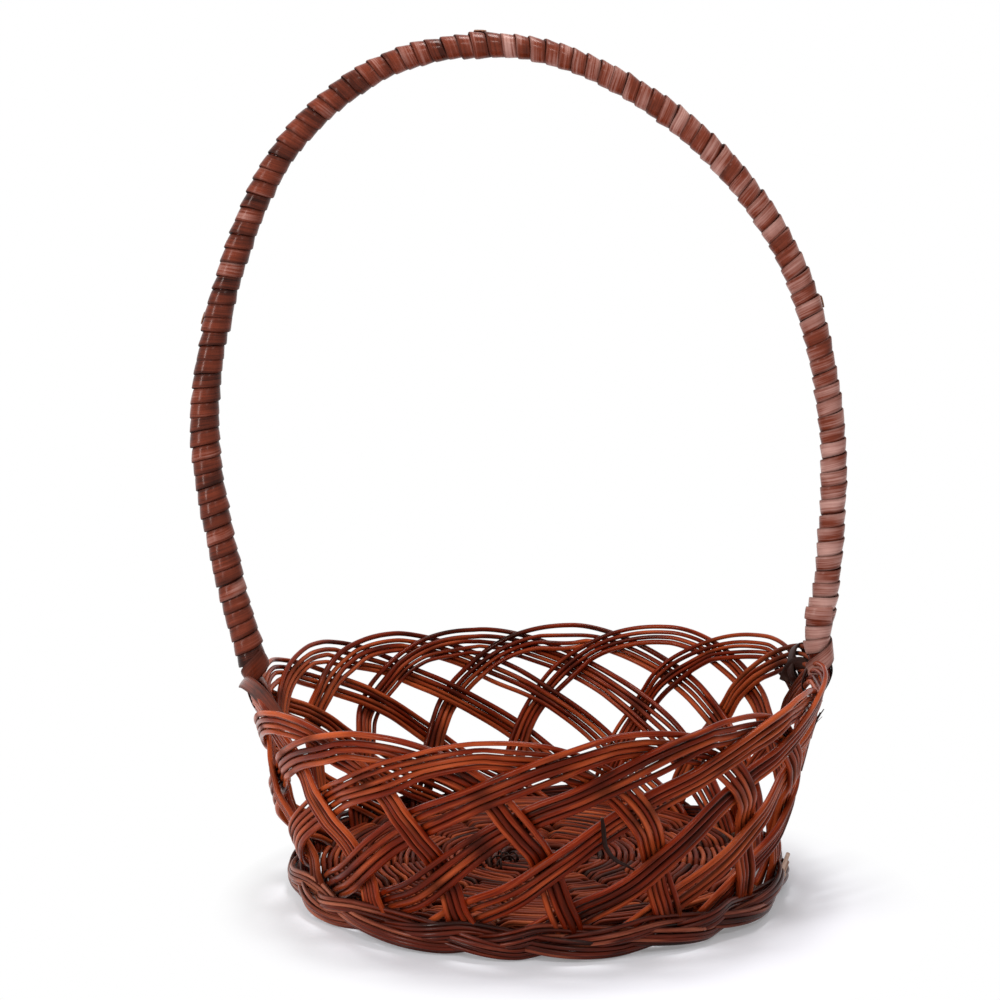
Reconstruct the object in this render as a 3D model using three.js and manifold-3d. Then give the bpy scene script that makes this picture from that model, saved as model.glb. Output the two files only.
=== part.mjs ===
// Round willow basket: a base woven on a cross of sticks, an openwork wall of arched rod bundles,
// a plaited foot, and a tall fixed handle wound with split willow.
// Millimetres, +Z up, the floor at z = 0, the origin under the middle of the whole basket.

import * as THREE from "three";
import { mergeVertices } from "three/addons/utils/BufferGeometryUtils.js";
import Module from "manifold-3d";

// Clearances
const SEAT_GAP = 0.3; // air between two pieces that touch on the real basket
const WEAVE_GAP = 0.5; // air between two bundles where they cross
const FLAT_DEPTH = 0.8; // how much of the foot is pressed flat on the floor

// Wall: each bundle is an arch, with a shallow leg on one side of its top and a steep leg on the other
const BUNDLES = 16;
// Degrees by which each arch of this hand-made wall stands ahead of its even place. The arches at the two
// ends of the handle keep their places.
const ARCH_DRIFT = [0, 0, 0, 4, 5, 4, 2, 0, 0, 0, 0, 1.5, 2, 5, 2.5, 0];
const RODS_IN_BUNDLE = 4;
const ROD_PITCH = 2.5; // from rod to rod across a bundle
const ROD_THICKNESS = 2.4;
const ROD_GROOVE = 0.7; // depth of the groove between two rods
const RIM_TOP = 90; // top of the arches
const WALL_FOOT_Z = 8; // where the bundles end
const WALL_FOOT_RADIUS = 98; // middle of the wall's thickness
const WALL_LEAN = 17; // degrees outwards from upright
const SHALLOW_CROWN = 32; // degrees that the shallow leg runs round in its curved part
const SHALLOW_RUN = 44; // and in its straight part
const STEEP_CROWN = 62; // the same for the steep leg
const STEEP_RUN = -20;
const LOOSE_CROSSINGS = 2; // crossings under the rim with the shallow leg outside, before they alternate
const STATION_STEP = 16; // longest stretch between two sections of a bundle
const SHIFT_LENGTH = 4.5; // shortest stretch in which a bundle goes from outside to inside

// Base
const BASE_Z = 7.5; // middle of the sticks
const STICKS_EACH_WAY = 4;
const STICK_PITCH = 5; // side by side at the middle of the base
const STICK_WIDTH = 4.4;
const STICK_SIDES = 6;
const STICK_HEIGHT = 4;
const STICK_FLAT_HEIGHT = 2; // a through stick shaved where it passes the slits
const SLIT_LIP = 1.5; // wood over and under a slit
const STICK_SWELL = 3.5; // length in which a stick comes back to its full height beside the cross
const FAN_START = 24; // radius where the sticks begin to spread
const FAN_END = 44; // radius from which they are evenly spread
const WEAVER_THICKNESS = 2;
const TIE_ROUNDS = 2; // rounds over four sticks at a time
const TIE_WIDTH = 3.6;
const TIE_PITCH = 5;
const PAIR_ROUNDS = 3; // rounds over two sticks at a time
const PAIR_START = 29.5;
const PAIR_PITCH = 5.5;
const PAIR_WIDTH = 4.4;
const SINGLE_ROUNDS = 6; // rounds over one stick at a time
const SINGLE_START = 47.5;
const SINGLE_PITCH = 8.2;
const SINGLE_WIDTH = 6.4;

// Foot: a plait of three strands
const STRANDS = 3;
const PLAIT_PERIODS = 5;
const PLAIT_STEPS = 15; // sections in one period
const STRAND_WIDTH = 5;
const STRAND_THICKNESS = 2.6;
const PLAIT_SWING = 4.8; // a strand's rise and fall about the middle of the plait
const PLAIT_WEAVE = 2.3; // its way in and out

// Handle
const CORE_BUTT_RADIUS = 4.5; // at the left foot
const CORE_TIP_RADIUS = 3.8; // at the right foot
const CORE_SIDES = 6;
const CORE_STEP = 8;
const TAIL_TIP_Z = 50; // the tails lie on the outside of the wall down to here
const TAIL_WIDTH = 7;
const TAIL_THICKNESS = 3.2;
const TAIL_TIP_WIDTH = 5;
const TAIL_TIP_THICKNESS = 1.6;
const TAIL_SECTIONS = 4;
const BOW_RISE = 264.4; // from the rim to the middle of the core at the top of the bow
// The bow's points: out from a foot, for the crown out from the basket's axis, and up in shares of the rise
const BOW_LEFT = [[-0.3, 0.042], [5, 0.155], [13.9, 0.412], [0.5, 0.664], [-24.2, 0.851], [-63.9, 0.969]];
const BOW_CROWN = [[-20, 1], [17, 0.972]];
const BOW_RIGHT = [[-59.9, 0.852], [-22.1, 0.664], [-4.2, 0.412], [-5.2, 0.17], [-4.6, 0.053]];

// Wrap: strips of split willow, flat inside and crowned outside
const SKEINS = 5;
const WRAP_PITCH = 6;
const WRAP_WIDTH = 5;
const WRAP_CROWN = 0.8;
const WRAP_STEPS = 7; // sections in one turn
const WRAP_CLEAR_OF_RIM = 6; // the wrap begins this far above the rim
const SKEIN_JOINT = 1; // left open along the strip between two skeins

// Lashings: two strips that cross over each tail
const LASHING_WIDTH = 3.4;
const LASHING_THICKNESS = 0.9;
const LASHING_SLANT = 32; // degrees from upright
const LASHING_SLACK = 2.6; // room for the bend of the bundles below the crossing
const LASHING_STEPS = 20; // sections in one turn
const LASHING_LAP = 0.06; // part of a turn by which the ends lap
const LASHING_LAP_GAP = 0.6;
const LASHING_LAP_RAMP = 0.2; // part of a turn in which the end climbs over the start
const LASHING_SQUARENESS = 8; // exponent of the loop's rounded outline

// Fineness of the sums along curves
const ARCH_SAMPLES = 800;
const BOW_SAMPLES = 1000;
const SLOPE_NUDGE = 0.001;

const STAINED_WILLOW = { roughness: 0.42, metalness: 0 };
const WALL_COLOURS = ["#8a3f22", "#7d3620", "#96482a", "#843b24"];
const BASE_COLOUR = "#a04f2c";
const WEAVER_COLOURS = ["#b0552f", "#9a4828"];
const FOOT_COLOURS = ["#7f3821", "#8c4126", "#74311d"];
const CORE_COLOUR = "#6b2f1c";
const WRAP_COLOURS = ["#8f4a2e", "#854228"];
const LASHING_COLOURS = ["#7a3a22", "#8b4529"];

const { degToRad, lerp, smoothstep } = THREE.MathUtils;
const UP = new THREE.Vector3(0, 0, 1);
const ALONG_Y = new THREE.Vector3(0, 1, 0);
const wasm = await Module();
wasm.setup();

const basket = new THREE.Group();

function addPiece(name, geometry, colour) {
  const material = new THREE.MeshStandardMaterial({ color: colour, ...STAINED_WILLOW });
  const mesh = new THREE.Mesh(geometry, material);
  mesh.name = name;
  basket.add(mesh);
  return mesh;
}

function pieceName(stem, index) {
  return `${stem}_${String(index + 1).padStart(2, "0")}`;
}

// Sweeps and cuts

function directionAt(points, index, closed) {
  const last = points.length - 1;
  const before = closed ? (index + last) % points.length : Math.max(index - 1, 0);
  const after = closed ? (index + 1) % points.length : Math.min(index + 1, last);
  return points[after].clone().sub(points[before]).normalize();
}

// Carries a section along a line of points. outward(i, direction) points roughly along the section's
// second axis, and section(i) gives its corners as [across, outwards], counter-clockwise.
function sweep(points, outward, section, closed = false) {
  const positions = [];
  const triangles = [];
  const corners = section(0).length;
  for (let i = 0; i < points.length; i++) {
    const direction = directionAt(points, i, closed);
    const across = outward(i, direction).clone().cross(direction).normalize();
    const out = direction.clone().cross(across);
    for (const [a, o] of section(i)) {
      const corner = points[i].clone().addScaledVector(across, a).addScaledVector(out, o);
      positions.push(corner.x, corner.y, corner.z);
    }
  }
  const spans = closed ? points.length : points.length - 1;
  for (let i = 0; i < spans; i++) {
    const next = (i + 1) % points.length;
    for (let j = 0; j < corners; j++) {
      const k = (j + 1) % corners;
      triangles.push(i * corners + j, i * corners + k, next * corners + k);
      triangles.push(i * corners + j, next * corners + k, next * corners + j);
    }
  }
  if (!closed) {
    addCap(triangles, section(0), 0, true);
    addCap(triangles, section(points.length - 1), spans * corners, false);
  }
  return solid(positions, triangles);
}

function addCap(triangles, outline, first, turned) {
  const contour = outline.map(([a, o]) => new THREE.Vector2(a, o));
  for (const [a, b, c] of THREE.ShapeUtils.triangulateShape(contour, [])) {
    const order = turned ? [c, b, a] : [a, b, c];
    triangles.push(...order.map((corner) => first + corner));
  }
}

function solid(positions, triangles) {
  const geometry = new THREE.BufferGeometry();
  geometry.setAttribute("position", new THREE.Float32BufferAttribute(positions, 3));
  geometry.setIndex(triangles);
  geometry.computeVertexNormals();
  return geometry;
}

function toManifold(geometry) {
  const bare = geometry.clone();
  bare.deleteAttribute("normal");
  bare.deleteAttribute("uv");
  const merged = mergeVertices(bare);
  const vertProperties = new Float32Array(merged.attributes.position.array);
  const triVerts = new Uint32Array(merged.index.array);
  return new wasm.Manifold(new wasm.Mesh({ numProp: 3, vertProperties, triVerts }));
}

function cutAway(geometry, tool) {
  const mesh = toManifold(geometry).subtract(toManifold(tool)).getMesh();
  return solid(mesh.vertProperties, Array.from(mesh.triVerts));
}

function block(width, depth, height, x, y, z) {
  return new THREE.BoxGeometry(width, depth, height).translate(x, y, z);
}

function ellipseSection(sides, halfAcross, halfOut) {
  const corner = (j) => (2 * Math.PI * (j + 0.5)) / sides;
  const corners = Array.from({ length: sides }, (_, j) => corner(j));
  return corners.map((angle) => [halfAcross * Math.cos(angle), halfOut * Math.sin(angle)]);
}

function rectangleSection(width, thickness) {
  const [a, o] = [width / 2, thickness / 2];
  return [[-a, -o], [a, -o], [a, o], [-a, o]];
}

// Wall surface

const leanSlope = Math.tan(degToRad(WALL_LEAN));
const leanCosine = Math.cos(degToRad(WALL_LEAN));
const bundleWidth = RODS_IN_BUNDLE * ROD_PITCH;
const weaveOffset = (ROD_THICKNESS + WEAVE_GAP) / 2;
const wallHalfThickness = weaveOffset + ROD_THICKNESS / 2;
const archTop = RIM_TOP - (bundleWidth / 2) * leanCosine;

function radial(angle) {
  return new THREE.Vector3(Math.cos(angle), Math.sin(angle), 0);
}

function wallRadius(z) {
  return WALL_FOOT_RADIUS + (z - WALL_FOOT_Z) * leanSlope;
}

function wallNormal(angle) {
  return radial(angle).multiplyScalar(leanCosine).addScaledVector(UP, -leanSlope * leanCosine);
}

function wallPoint(angle, z, offset) {
  const onWall = radial(angle).multiplyScalar(wallRadius(z)).setZ(z);
  return onWall.addScaledVector(wallNormal(angle), offset);
}

// A bundle's line runs from t = -1 at the shallow foot, over its top at t = 0, to t = 1 at the steep foot

function archSpread(t) {
  const crown = t < 0 ? SHALLOW_CROWN : STEEP_CROWN;
  const run = t < 0 ? SHALLOW_RUN : STEEP_RUN;
  return degToRad(crown * t + run * t * Math.abs(t));
}

function archHeight(t) {
  return archTop - (archTop - WALL_FOOT_Z) * t * t;
}

function archPoint(t, offset) {
  return wallPoint(archSpread(t), archHeight(t), offset);
}

const archSamples = Array.from({ length: ARCH_SAMPLES + 1 }, (_, i) => (2 * i) / ARCH_SAMPLES - 1);
const archLengths = [0];
for (let i = 1; i <= ARCH_SAMPLES; i++) {
  const step = archPoint(archSamples[i], 0).distanceTo(archPoint(archSamples[i - 1], 0));
  archLengths.push(archLengths[i - 1] + step);
}
const archLength = archLengths[ARCH_SAMPLES];

function interpolate(value, from, to) {
  const next = Math.min(Math.max(from.findIndex((entry) => entry >= value), 1), from.length - 1);
  const share = (value - from[next - 1]) / (from[next] - from[next - 1]);
  return lerp(to[next - 1], to[next], share);
}

const evenStep = 360 / BUNDLES;

function archDrift(bundle) {
  return ARCH_DRIFT[(bundle + BUNDLES) % BUNDLES] ?? 0;
}

// Degrees from an arch to the n-th arch ahead of it
function stepsAhead(bundle, n) {
  return evenStep * n + archDrift(bundle + n) - archDrift(bundle);
}

// A steep leg meets the shallow leg of an arch that stands some degrees ahead where both are equally far
// down, so the crossing lies at t on the one and at -t on the other.
function crossingAt(ahead) {
  const crowns = SHALLOW_CROWN + STEEP_CROWN;
  const runs = SHALLOW_RUN + STEEP_RUN;
  return (2 * ahead) / (crowns + Math.sqrt(crowns * crowns + 4 * runs * ahead));
}

function steepLegOutside(n) {
  return n > LOOSE_CROSSINGS && (n - LOOSE_CROSSINGS) % 2 === 1;
}

function legSlope(t) {
  const [before, after] = [t - SLOPE_NUDGE, t + SLOPE_NUDGE];
  const run = (archSpread(after) - archSpread(before)) * wallRadius(archHeight(t));
  const rise = (archHeight(after) - archHeight(before)) / leanCosine;
  return Math.atan(Math.abs(rise / run));
}

// Half the length along a bundle that lies over or under the other one at a crossing
function crossingReach(t) {
  const angle = legSlope(t) + legSlope(-t);
  const sharper = Math.min(angle, Math.PI - angle);
  return bundleWidth / 2 / Math.tan(sharper / 2);
}

// Where along its line a bundle lies outside or inside the middle of the wall, from foot to foot. Its steep
// leg meets the arches ahead of it, and its shallow leg meets those behind it.
function weaveStops(bundle) {
  const plateaus = [];
  for (let n = 1; n < BUNDLES / 2; n++) {
    const side = steepLegOutside(n) ? 1 : -1;
    const steep = { t: crossingAt(stepsAhead(bundle, n)), side };
    const shallow = { t: -crossingAt(stepsAhead(bundle - n, n)), side: -side };
    for (const leg of [steep, shallow].filter(({ t }) => Math.abs(t) < 1)) {
      const at = interpolate(leg.t, archSamples, archLengths);
      plateaus.push({ at, reach: crossingReach(leg.t), side: leg.side });
    }
  }
  plateaus.sort((a, b) => a.at - b.at);
  const stops = [{ at: 0, offset: plateaus[0].side * weaveOffset }];
  for (let i = 1; i < plateaus.length; i++) {
    const [one, two] = [plateaus[i - 1], plateaus[i]];
    if (one.side === two.side) continue;
    const room = two.at - one.at - one.reach - two.reach;
    const short = Math.max(SHIFT_LENGTH - room, 0) / (one.reach + two.reach);
    stops.push({ at: one.at + one.reach * (1 - short), offset: one.side * weaveOffset });
    stops.push({ at: two.at - two.reach * (1 - short), offset: two.side * weaveOffset });
  }
  stops.push({ at: archLength, offset: plateaus.at(-1).side * weaveOffset });
  return stops;
}

function bundleStations(bundle) {
  const stops = weaveStops(bundle);
  const stations = [stops[0]];
  for (let i = 1; i < stops.length; i++) {
    const [one, two] = [stops[i - 1], stops[i]];
    const parts = Math.ceil((two.at - one.at) / STATION_STEP);
    for (let part = 1; part <= parts; part++) {
      const share = part / parts;
      stations.push({ at: lerp(one.at, two.at, share), offset: lerp(one.offset, two.offset, share) });
    }
  }
  return stations.map(({ at, offset }) => ({ t: interpolate(at, archLengths, archSamples), offset }));
}

// Flat towards the inside, with one ridge for each rod towards the outside
function bundleSection() {
  const half = ROD_THICKNESS / 2;
  const outline = [[-bundleWidth / 2, -half], [bundleWidth / 2, -half]];
  for (let rod = RODS_IN_BUNDLE - 1; rod >= 0; rod--) {
    const middle = (rod - (RODS_IN_BUNDLE - 1) / 2) * ROD_PITCH;
    outline.push([middle, half]);
    if (rod > 0) outline.push([middle - ROD_PITCH / 2, half - ROD_GROOVE]);
  }
  return outline;
}

// The weave is turned so that a first crossing stands under each end of the handle
const firstCrossing = archSpread(crossingAt(evenStep));

function addWall() {
  const outline = bundleSection();
  for (let i = 0; i < BUNDLES; i++) {
    const stations = bundleStations(i);
    const points = stations.map(({ t, offset }) => archPoint(t, offset));
    const normals = stations.map(({ t }) => wallNormal(archSpread(t)));
    const geometry = sweep(points, (k) => normals[k], () => outline);
    const mesh = addPiece(pieceName("wall_bundle", i), geometry, WALL_COLOURS[i % WALL_COLOURS.length]);
    mesh.rotation.z = degToRad(evenStep * i + archDrift(i)) - firstCrossing;
  }
}

// Base

const slitHeight = STICK_FLAT_HEIGHT + 2 * SEAT_GAP;
const crossHalf = (STICKS_EACH_WAY * STICK_PITCH) / 2;
const swellEnd = crossHalf + STICK_SWELL;
const spokes = 4 * STICKS_EACH_WAY;
const weaverLift = STICK_HEIGHT / 2 + SEAT_GAP + WEAVER_THICKNESS / 2;
const stickEndZ = BASE_Z - STICK_HEIGHT / 2;
const stickReach = wallRadius(stickEndZ) - wallHalfThickness / leanCosine - SEAT_GAP;
// The spokes end behind the feet of the shallow legs, which lie inside there
const baseTurn = archSpread(-1) - firstCrossing - Math.PI / spokes;

function stickOffset(stick) {
  return (stick - (STICKS_EACH_WAY - 1) / 2) * STICK_PITCH;
}

// Angle of a stick off its own direction at a radius: side by side in the middle, evenly spread outside
function stickAngle(stick, radius) {
  const parallel = Math.asin(stickOffset(stick) / radius);
  const spread = (stick - (STICKS_EACH_WAY - 1) / 2) * ((2 * Math.PI) / spokes);
  return lerp(parallel, spread, smoothstep(radius, FAN_START, FAN_END));
}

function stickPoint(stick, radius, end) {
  const angle = stickAngle(stick, radius);
  return new THREE.Vector3(end * radius * Math.cos(angle), radius * Math.sin(angle), BASE_Z);
}

function addStick(name, stick, pierced) {
  const middleHeight = pierced ? slitHeight + 2 * SLIT_LIP : STICK_FLAT_HEIGHT;
  const crossEnd = crossHalf + SEAT_GAP;
  const fanMiddle = (FAN_START + FAN_END) / 2;
  const stations = [
    { radius: Math.hypot(crossEnd, stickOffset(stick)), height: middleHeight },
    { radius: Math.hypot(swellEnd, stickOffset(stick)), height: STICK_HEIGHT },
    { radius: FAN_START, height: STICK_HEIGHT },
    { radius: fanMiddle, height: STICK_HEIGHT },
    { radius: FAN_END, height: STICK_HEIGHT },
    { radius: stickReach, height: STICK_HEIGHT },
  ];
  const stationAt = ({ radius, height }, end) => ({ point: stickPoint(stick, radius, end), height });
  const half = (end) => stations.map((station) => stationAt(station, end));
  const line = [...half(-1).reverse(), ...half(1)];
  const flatToCorner = Math.cos(Math.PI / STICK_SIDES);
  const section = (i) => ellipseSection(STICK_SIDES, STICK_WIDTH / 2 / flatToCorner, line[i].height / 2);
  let geometry = sweep(line.map(({ point }) => point), () => UP, section);
  if (pierced) {
    const pastBothFaces = 2 * STICK_WIDTH;
    const slit = block(2 * crossEnd, pastBothFaces, slitHeight, 0, stickOffset(stick), BASE_Z);
    geometry = cutAway(geometry, slit);
  }
  const mesh = addPiece(name, geometry, BASE_COLOUR);
  mesh.rotation.z = baseTurn + (pierced ? Math.PI / 2 : 0);
}

// A round of weaving goes over one group of sticks and under the next. Each group is given by the angles
// of its first and last stick, and the line keeps its height from edge to edge of the group.
function addRound(name, groups, radius, width, startsOver, colour) {
  const points = [];
  groups.forEach(({ from, to }, g) => {
    const lift = (g % 2 === 0) === startsOver ? weaverLift : -weaverLift;
    for (const angle of [from, to]) {
      points.push(radial(angle).multiplyScalar(radius).setZ(BASE_Z + lift));
    }
  });
  const outline = rectangleSection(width, WEAVER_THICKNESS);
  const mesh = addPiece(name, sweep(points, () => UP, () => outline, true), colour);
  mesh.rotation.z = baseTurn;
}

function stickGroups(radius, size) {
  const margin = (STICK_WIDTH / 2 + SEAT_GAP) / radius;
  const groups = [];
  for (let quarter = 0; quarter < 4; quarter++) {
    for (let first = 0; first < STICKS_EACH_WAY; first += size) {
      const turn = (quarter * Math.PI) / 2;
      const from = turn + stickAngle(first, radius) - margin;
      const to = turn + stickAngle(first + size - 1, radius) + margin;
      groups.push({ from, to });
    }
  }
  return groups;
}

function addBase() {
  for (let stick = 0; stick < STICKS_EACH_WAY; stick++) {
    addStick(pieceName("base_stick_pierced", stick), stick, true);
    addStick(pieceName("base_stick_through", stick), stick, false);
  }
  const rounds = [];
  for (let i = 0; i < TIE_ROUNDS; i++) {
    const side = swellEnd + SEAT_GAP + TIE_WIDTH / 2 + i * TIE_PITCH;
    const edge = Math.atan2(crossHalf, side);
    const corner = Math.hypot(crossHalf, side);
    const turns = [0, 1, 2, 3].map((quarter) => (quarter * Math.PI) / 2);
    const groups = turns.map((turn) => ({ from: turn - edge, to: turn + edge }));
    rounds.push({ groups, radius: corner, width: TIE_WIDTH });
  }
  for (let i = 0; i < PAIR_ROUNDS; i++) {
    const radius = PAIR_START + i * PAIR_PITCH;
    rounds.push({ groups: stickGroups(radius, 2), radius, width: PAIR_WIDTH });
  }
  for (let i = 0; i < SINGLE_ROUNDS; i++) {
    const radius = SINGLE_START + i * SINGLE_PITCH;
    rounds.push({ groups: stickGroups(radius, 1), radius, width: SINGLE_WIDTH });
  }
  rounds.forEach(({ groups, radius, width }, i) => {
    const colour = WEAVER_COLOURS[i % WEAVER_COLOURS.length];
    addRound(pieceName("base_weaver", i), groups, radius, width, i % 2 === 0, colour);
  });
}

// Foot

// Two strands cross a twelfth of a period after one of them is at middle height
const crossingPhase = Math.PI / 6;
const plaitZ = PLAIT_SWING + STRAND_WIDTH / 2 - FLAT_DEPTH;
const innerCrossingTop = plaitZ + PLAIT_SWING * Math.sin(crossingPhase) + STRAND_WIDTH / 2;
const wallFace = wallRadius(innerCrossingTop) + wallHalfThickness / leanCosine;
const plaitRadius = wallFace + SEAT_GAP + STRAND_THICKNESS / 2 + PLAIT_WEAVE * Math.sin(2 * crossingPhase);

function addFoot() {
  const steps = PLAIT_PERIODS * PLAIT_STEPS;
  const [wide, thick] = [STRAND_WIDTH / 2, STRAND_THICKNESS / 2];
  const outline = [[-wide, 0], [0, -thick], [wide, 0], [0, thick]];
  const floorSize = 2 * (plaitRadius + PLAIT_WEAVE + STRAND_WIDTH);
  const belowFloor = block(floorSize, floorSize, STRAND_WIDTH, 0, 0, -STRAND_WIDTH / 2);
  for (let strand = 0; strand < STRANDS; strand++) {
    const points = [];
    for (let i = 0; i < steps; i++) {
      const angle = (2 * Math.PI * i) / steps;
      const phase = angle * PLAIT_PERIODS + (2 * Math.PI * strand) / STRANDS + crossingPhase;
      const radius = plaitRadius + PLAIT_WEAVE * Math.sin(2 * phase);
      points.push(radial(angle).multiplyScalar(radius).setZ(plaitZ + PLAIT_SWING * Math.sin(phase)));
    }
    const whole = sweep(points, (i) => radial((2 * Math.PI * i) / steps), () => outline, true);
    const colour = FOOT_COLOURS[strand % FOOT_COLOURS.length];
    addPiece(pieceName("foot_strand", strand), cutAway(whole, belowFloor), colour);
  }
}

// Handle

const tailOffset = wallHalfThickness + SEAT_GAP;
const footX = wallPoint(0, RIM_TOP, tailOffset + TAIL_THICKNESS / 2).x;

function tailStations() {
  const stations = [];
  for (let i = 0; i <= TAIL_SECTIONS; i++) {
    const share = i / TAIL_SECTIONS;
    const z = lerp(TAIL_TIP_Z, RIM_TOP, share);
    const thickness = lerp(TAIL_TIP_THICKNESS, TAIL_THICKNESS, share);
    const width = lerp(TAIL_TIP_WIDTH, TAIL_WIDTH, share);
    const point = wallPoint(0, z, tailOffset + thickness / 2);
    stations.push({ point, halfAcross: width / 2, halfOut: thickness / 2 });
  }
  return stations;
}

function bowCurve() {
  const bowPoint = (x, up) => new THREE.Vector3(x, 0, RIM_TOP + BOW_RISE * up);
  const left = BOW_LEFT.map(([out, up]) => bowPoint(-footX - out, up));
  const crown = BOW_CROWN.map(([x, up]) => bowPoint(x, up));
  const right = BOW_RIGHT.map(([out, up]) => bowPoint(footX + out, up));
  const leftFoot = new THREE.Vector3(-footX, 0, RIM_TOP);
  const rightFoot = new THREE.Vector3(footX, 0, RIM_TOP);
  const curve = new THREE.CatmullRomCurve3([leftFoot, ...left, ...crown, ...right, rightFoot]);
  curve.arcLengthDivisions = BOW_SAMPLES;
  return curve;
}

const bow = bowCurve();
const bowLength = bow.getLength();

function bowOutward(direction) {
  return direction.clone().cross(ALONG_Y);
}

function coreRadius(share) {
  return lerp(CORE_BUTT_RADIUS, CORE_TIP_RADIUS, share);
}

function addCore() {
  const rightTail = tailStations();
  const mirrored = ({ point, ...size }) => ({ point: point.clone().setX(-point.x), ...size });
  const leftTail = rightTail.map(mirrored);
  const steps = Math.ceil(bowLength / CORE_STEP);
  const round = [];
  for (let i = 1; i < steps; i++) {
    const radius = coreRadius(i / steps);
    round.push({ point: bow.getPointAt(i / steps), halfAcross: radius, halfOut: radius });
  }
  const line = [...leftTail, ...round, ...rightTail.reverse()];
  const section = (i) => ellipseSection(CORE_SIDES, line[i].halfAcross, line[i].halfOut);
  const points = line.map(({ point }) => point);
  addPiece("handle_core", sweep(points, (i, direction) => bowOutward(direction), section), CORE_COLOUR);
}

// Least distance between the edges of neighbouring turns, measured on points of the strip's line
function leastGap(points, across, width, stepsInTurn) {
  const edge = (i, side) => points[i].clone().addScaledVector(across[i], (side * width) / 2);
  let least = Infinity;
  for (let i = 0; i < points.length; i++) {
    const lastNear = Math.min(i + stepsInTurn + 2, points.length - 1);
    for (let j = i + stepsInTurn - 2; j <= lastNear; j++) {
      least = Math.min(least, edge(i, 1).distanceTo(edge(j, -1)), edge(i, -1).distanceTo(edge(j, 1)));
    }
  }
  return least;
}

function addWrap() {
  const innerRadius = (share) => (coreRadius(share) + SEAT_GAP) / Math.cos(Math.PI / WRAP_STEPS);
  const turns = Math.floor((bowLength - 2 * WRAP_CLEAR_OF_RIM) / WRAP_PITCH);
  const outline = [[-WRAP_WIDTH / 2, 0], [WRAP_WIDTH / 2, 0], [0, WRAP_CROWN]];
  const stripJoint = SKEIN_JOINT / (2 * Math.PI * CORE_TIP_RADIUS);
  for (let skein = 0; skein < SKEINS; skein++) {
    const first = (turns * skein) / SKEINS + stripJoint / 2;
    const last = (turns * (skein + 1)) / SKEINS - stripJoint / 2;
    const steps = Math.round((last - first) * WRAP_STEPS);
    const points = [];
    const outward = [];
    for (let i = 0; i <= steps; i++) {
      const turn = lerp(first, last, i / steps);
      const share = (WRAP_CLEAR_OF_RIM + turn * WRAP_PITCH) / bowLength;
      const angle = -2 * Math.PI * turn;
      const out = bowOutward(bow.getTangentAt(share)).multiplyScalar(Math.cos(angle));
      outward.push(out.addScaledVector(ALONG_Y, Math.sin(angle)));
      points.push(bow.getPointAt(share).addScaledVector(outward[i], innerRadius(share)));
    }
    const acrossAt = (i) => outward[i].clone().cross(directionAt(points, i, false)).normalize();
    const across = points.map((_, i) => acrossAt(i));
    const gap = leastGap(points, across, WRAP_WIDTH, WRAP_STEPS);
    const name = pieceName("handle_skein", skein);
    console.log(`${name}: ${(last - first).toFixed(1)} turns, least gap to itself ${gap.toFixed(2)} mm`);
    const colour = WRAP_COLOURS[skein % WRAP_COLOURS.length];
    addPiece(name, sweep(points, (i) => outward[i], () => outline), colour);
  }
}

// A lashing goes slanting over a tail, through the wall below the crossing, up behind it and over the rim.
// Its outline is a rounded rectangle in a plane square to the wall, and its end laps over its start.
function addLashing(name, layer, turn, colour) {
  const t = crossingAt(evenStep);
  const slant = degToRad(LASHING_SLANT) * (layer === 0 ? 1 : -1);
  const toBundle = Math.PI / 2 - Math.abs(slant) - legSlope(t);
  const overBundles = bundleWidth / 2 / Math.sin(toBundle) + LASHING_WIDTH / 2 / Math.tan(toBundle);
  const clear = SEAT_GAP + LASHING_THICKNESS / 2;
  const besideTail = TAIL_WIDTH / 2 + (LASHING_WIDTH / 2) * Math.cos(slant);
  const reach = Math.max(overBundles, besideTail / Math.sin(Math.abs(slant))) + clear + LASHING_SLACK;
  const layerDepth = layer * (LASHING_THICKNESS + SEAT_GAP);
  const hollow = SEAT_GAP; // the strip is straight behind the wall, which curves away from it
  const inside = wallHalfThickness + hollow + clear + layerDepth;
  const outside = tailOffset + TAIL_THICKNESS + clear + layerDepth;
  const normal = wallNormal(0);
  const upWall = ALONG_Y.clone().cross(normal).negate();
  const along = upWall.multiplyScalar(Math.cos(slant)).addScaledVector(ALONG_Y, Math.sin(slant));
  const middle = wallPoint(0, archHeight(t), (outside - inside) / 2);
  const power = (value) => Math.sign(value) * Math.abs(value) ** (2 / LASHING_SQUARENESS);
  const steps = Math.round(LASHING_STEPS * (1 + LASHING_LAP));
  const points = [];
  const outward = [];
  for (let i = 0; i <= steps; i++) {
    const share = i / LASHING_STEPS;
    const angle = 2 * Math.PI * share;
    const lift = (LASHING_THICKNESS + LASHING_LAP_GAP) * smoothstep(share, 1 - LASHING_LAP_RAMP, 1);
    const a = (reach + lift) * power(Math.cos(angle));
    const n = ((outside + inside) / 2 + lift) * power(Math.sin(angle));
    outward.push(along.clone().multiplyScalar(a).addScaledVector(normal, n).normalize());
    points.push(middle.clone().addScaledVector(along, a).addScaledVector(normal, n));
  }
  const outline = rectangleSection(LASHING_WIDTH, LASHING_THICKNESS);
  const mesh = addPiece(name, sweep(points, (i) => outward[i], () => outline), colour);
  mesh.rotation.z = turn;
}

function addLashings() {
  for (let layer = 0; layer < 2; layer++) {
    addLashing(pieceName("lashing_right", layer), layer, 0, LASHING_COLOURS[layer]);
    addLashing(pieceName("lashing_left", layer), layer, Math.PI, LASHING_COLOURS[layer]);
  }
}

addBase();
addWall();
addFoot();
addCore();
addWrap();
addLashings();

// The handle leans to one side, so the axis of the basket stands beside the middle of the whole
const box = new THREE.Box3().setFromObject(basket, true);
basket.position.x = -(box.min.x + box.max.x) / 2;

export default basket;
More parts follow.
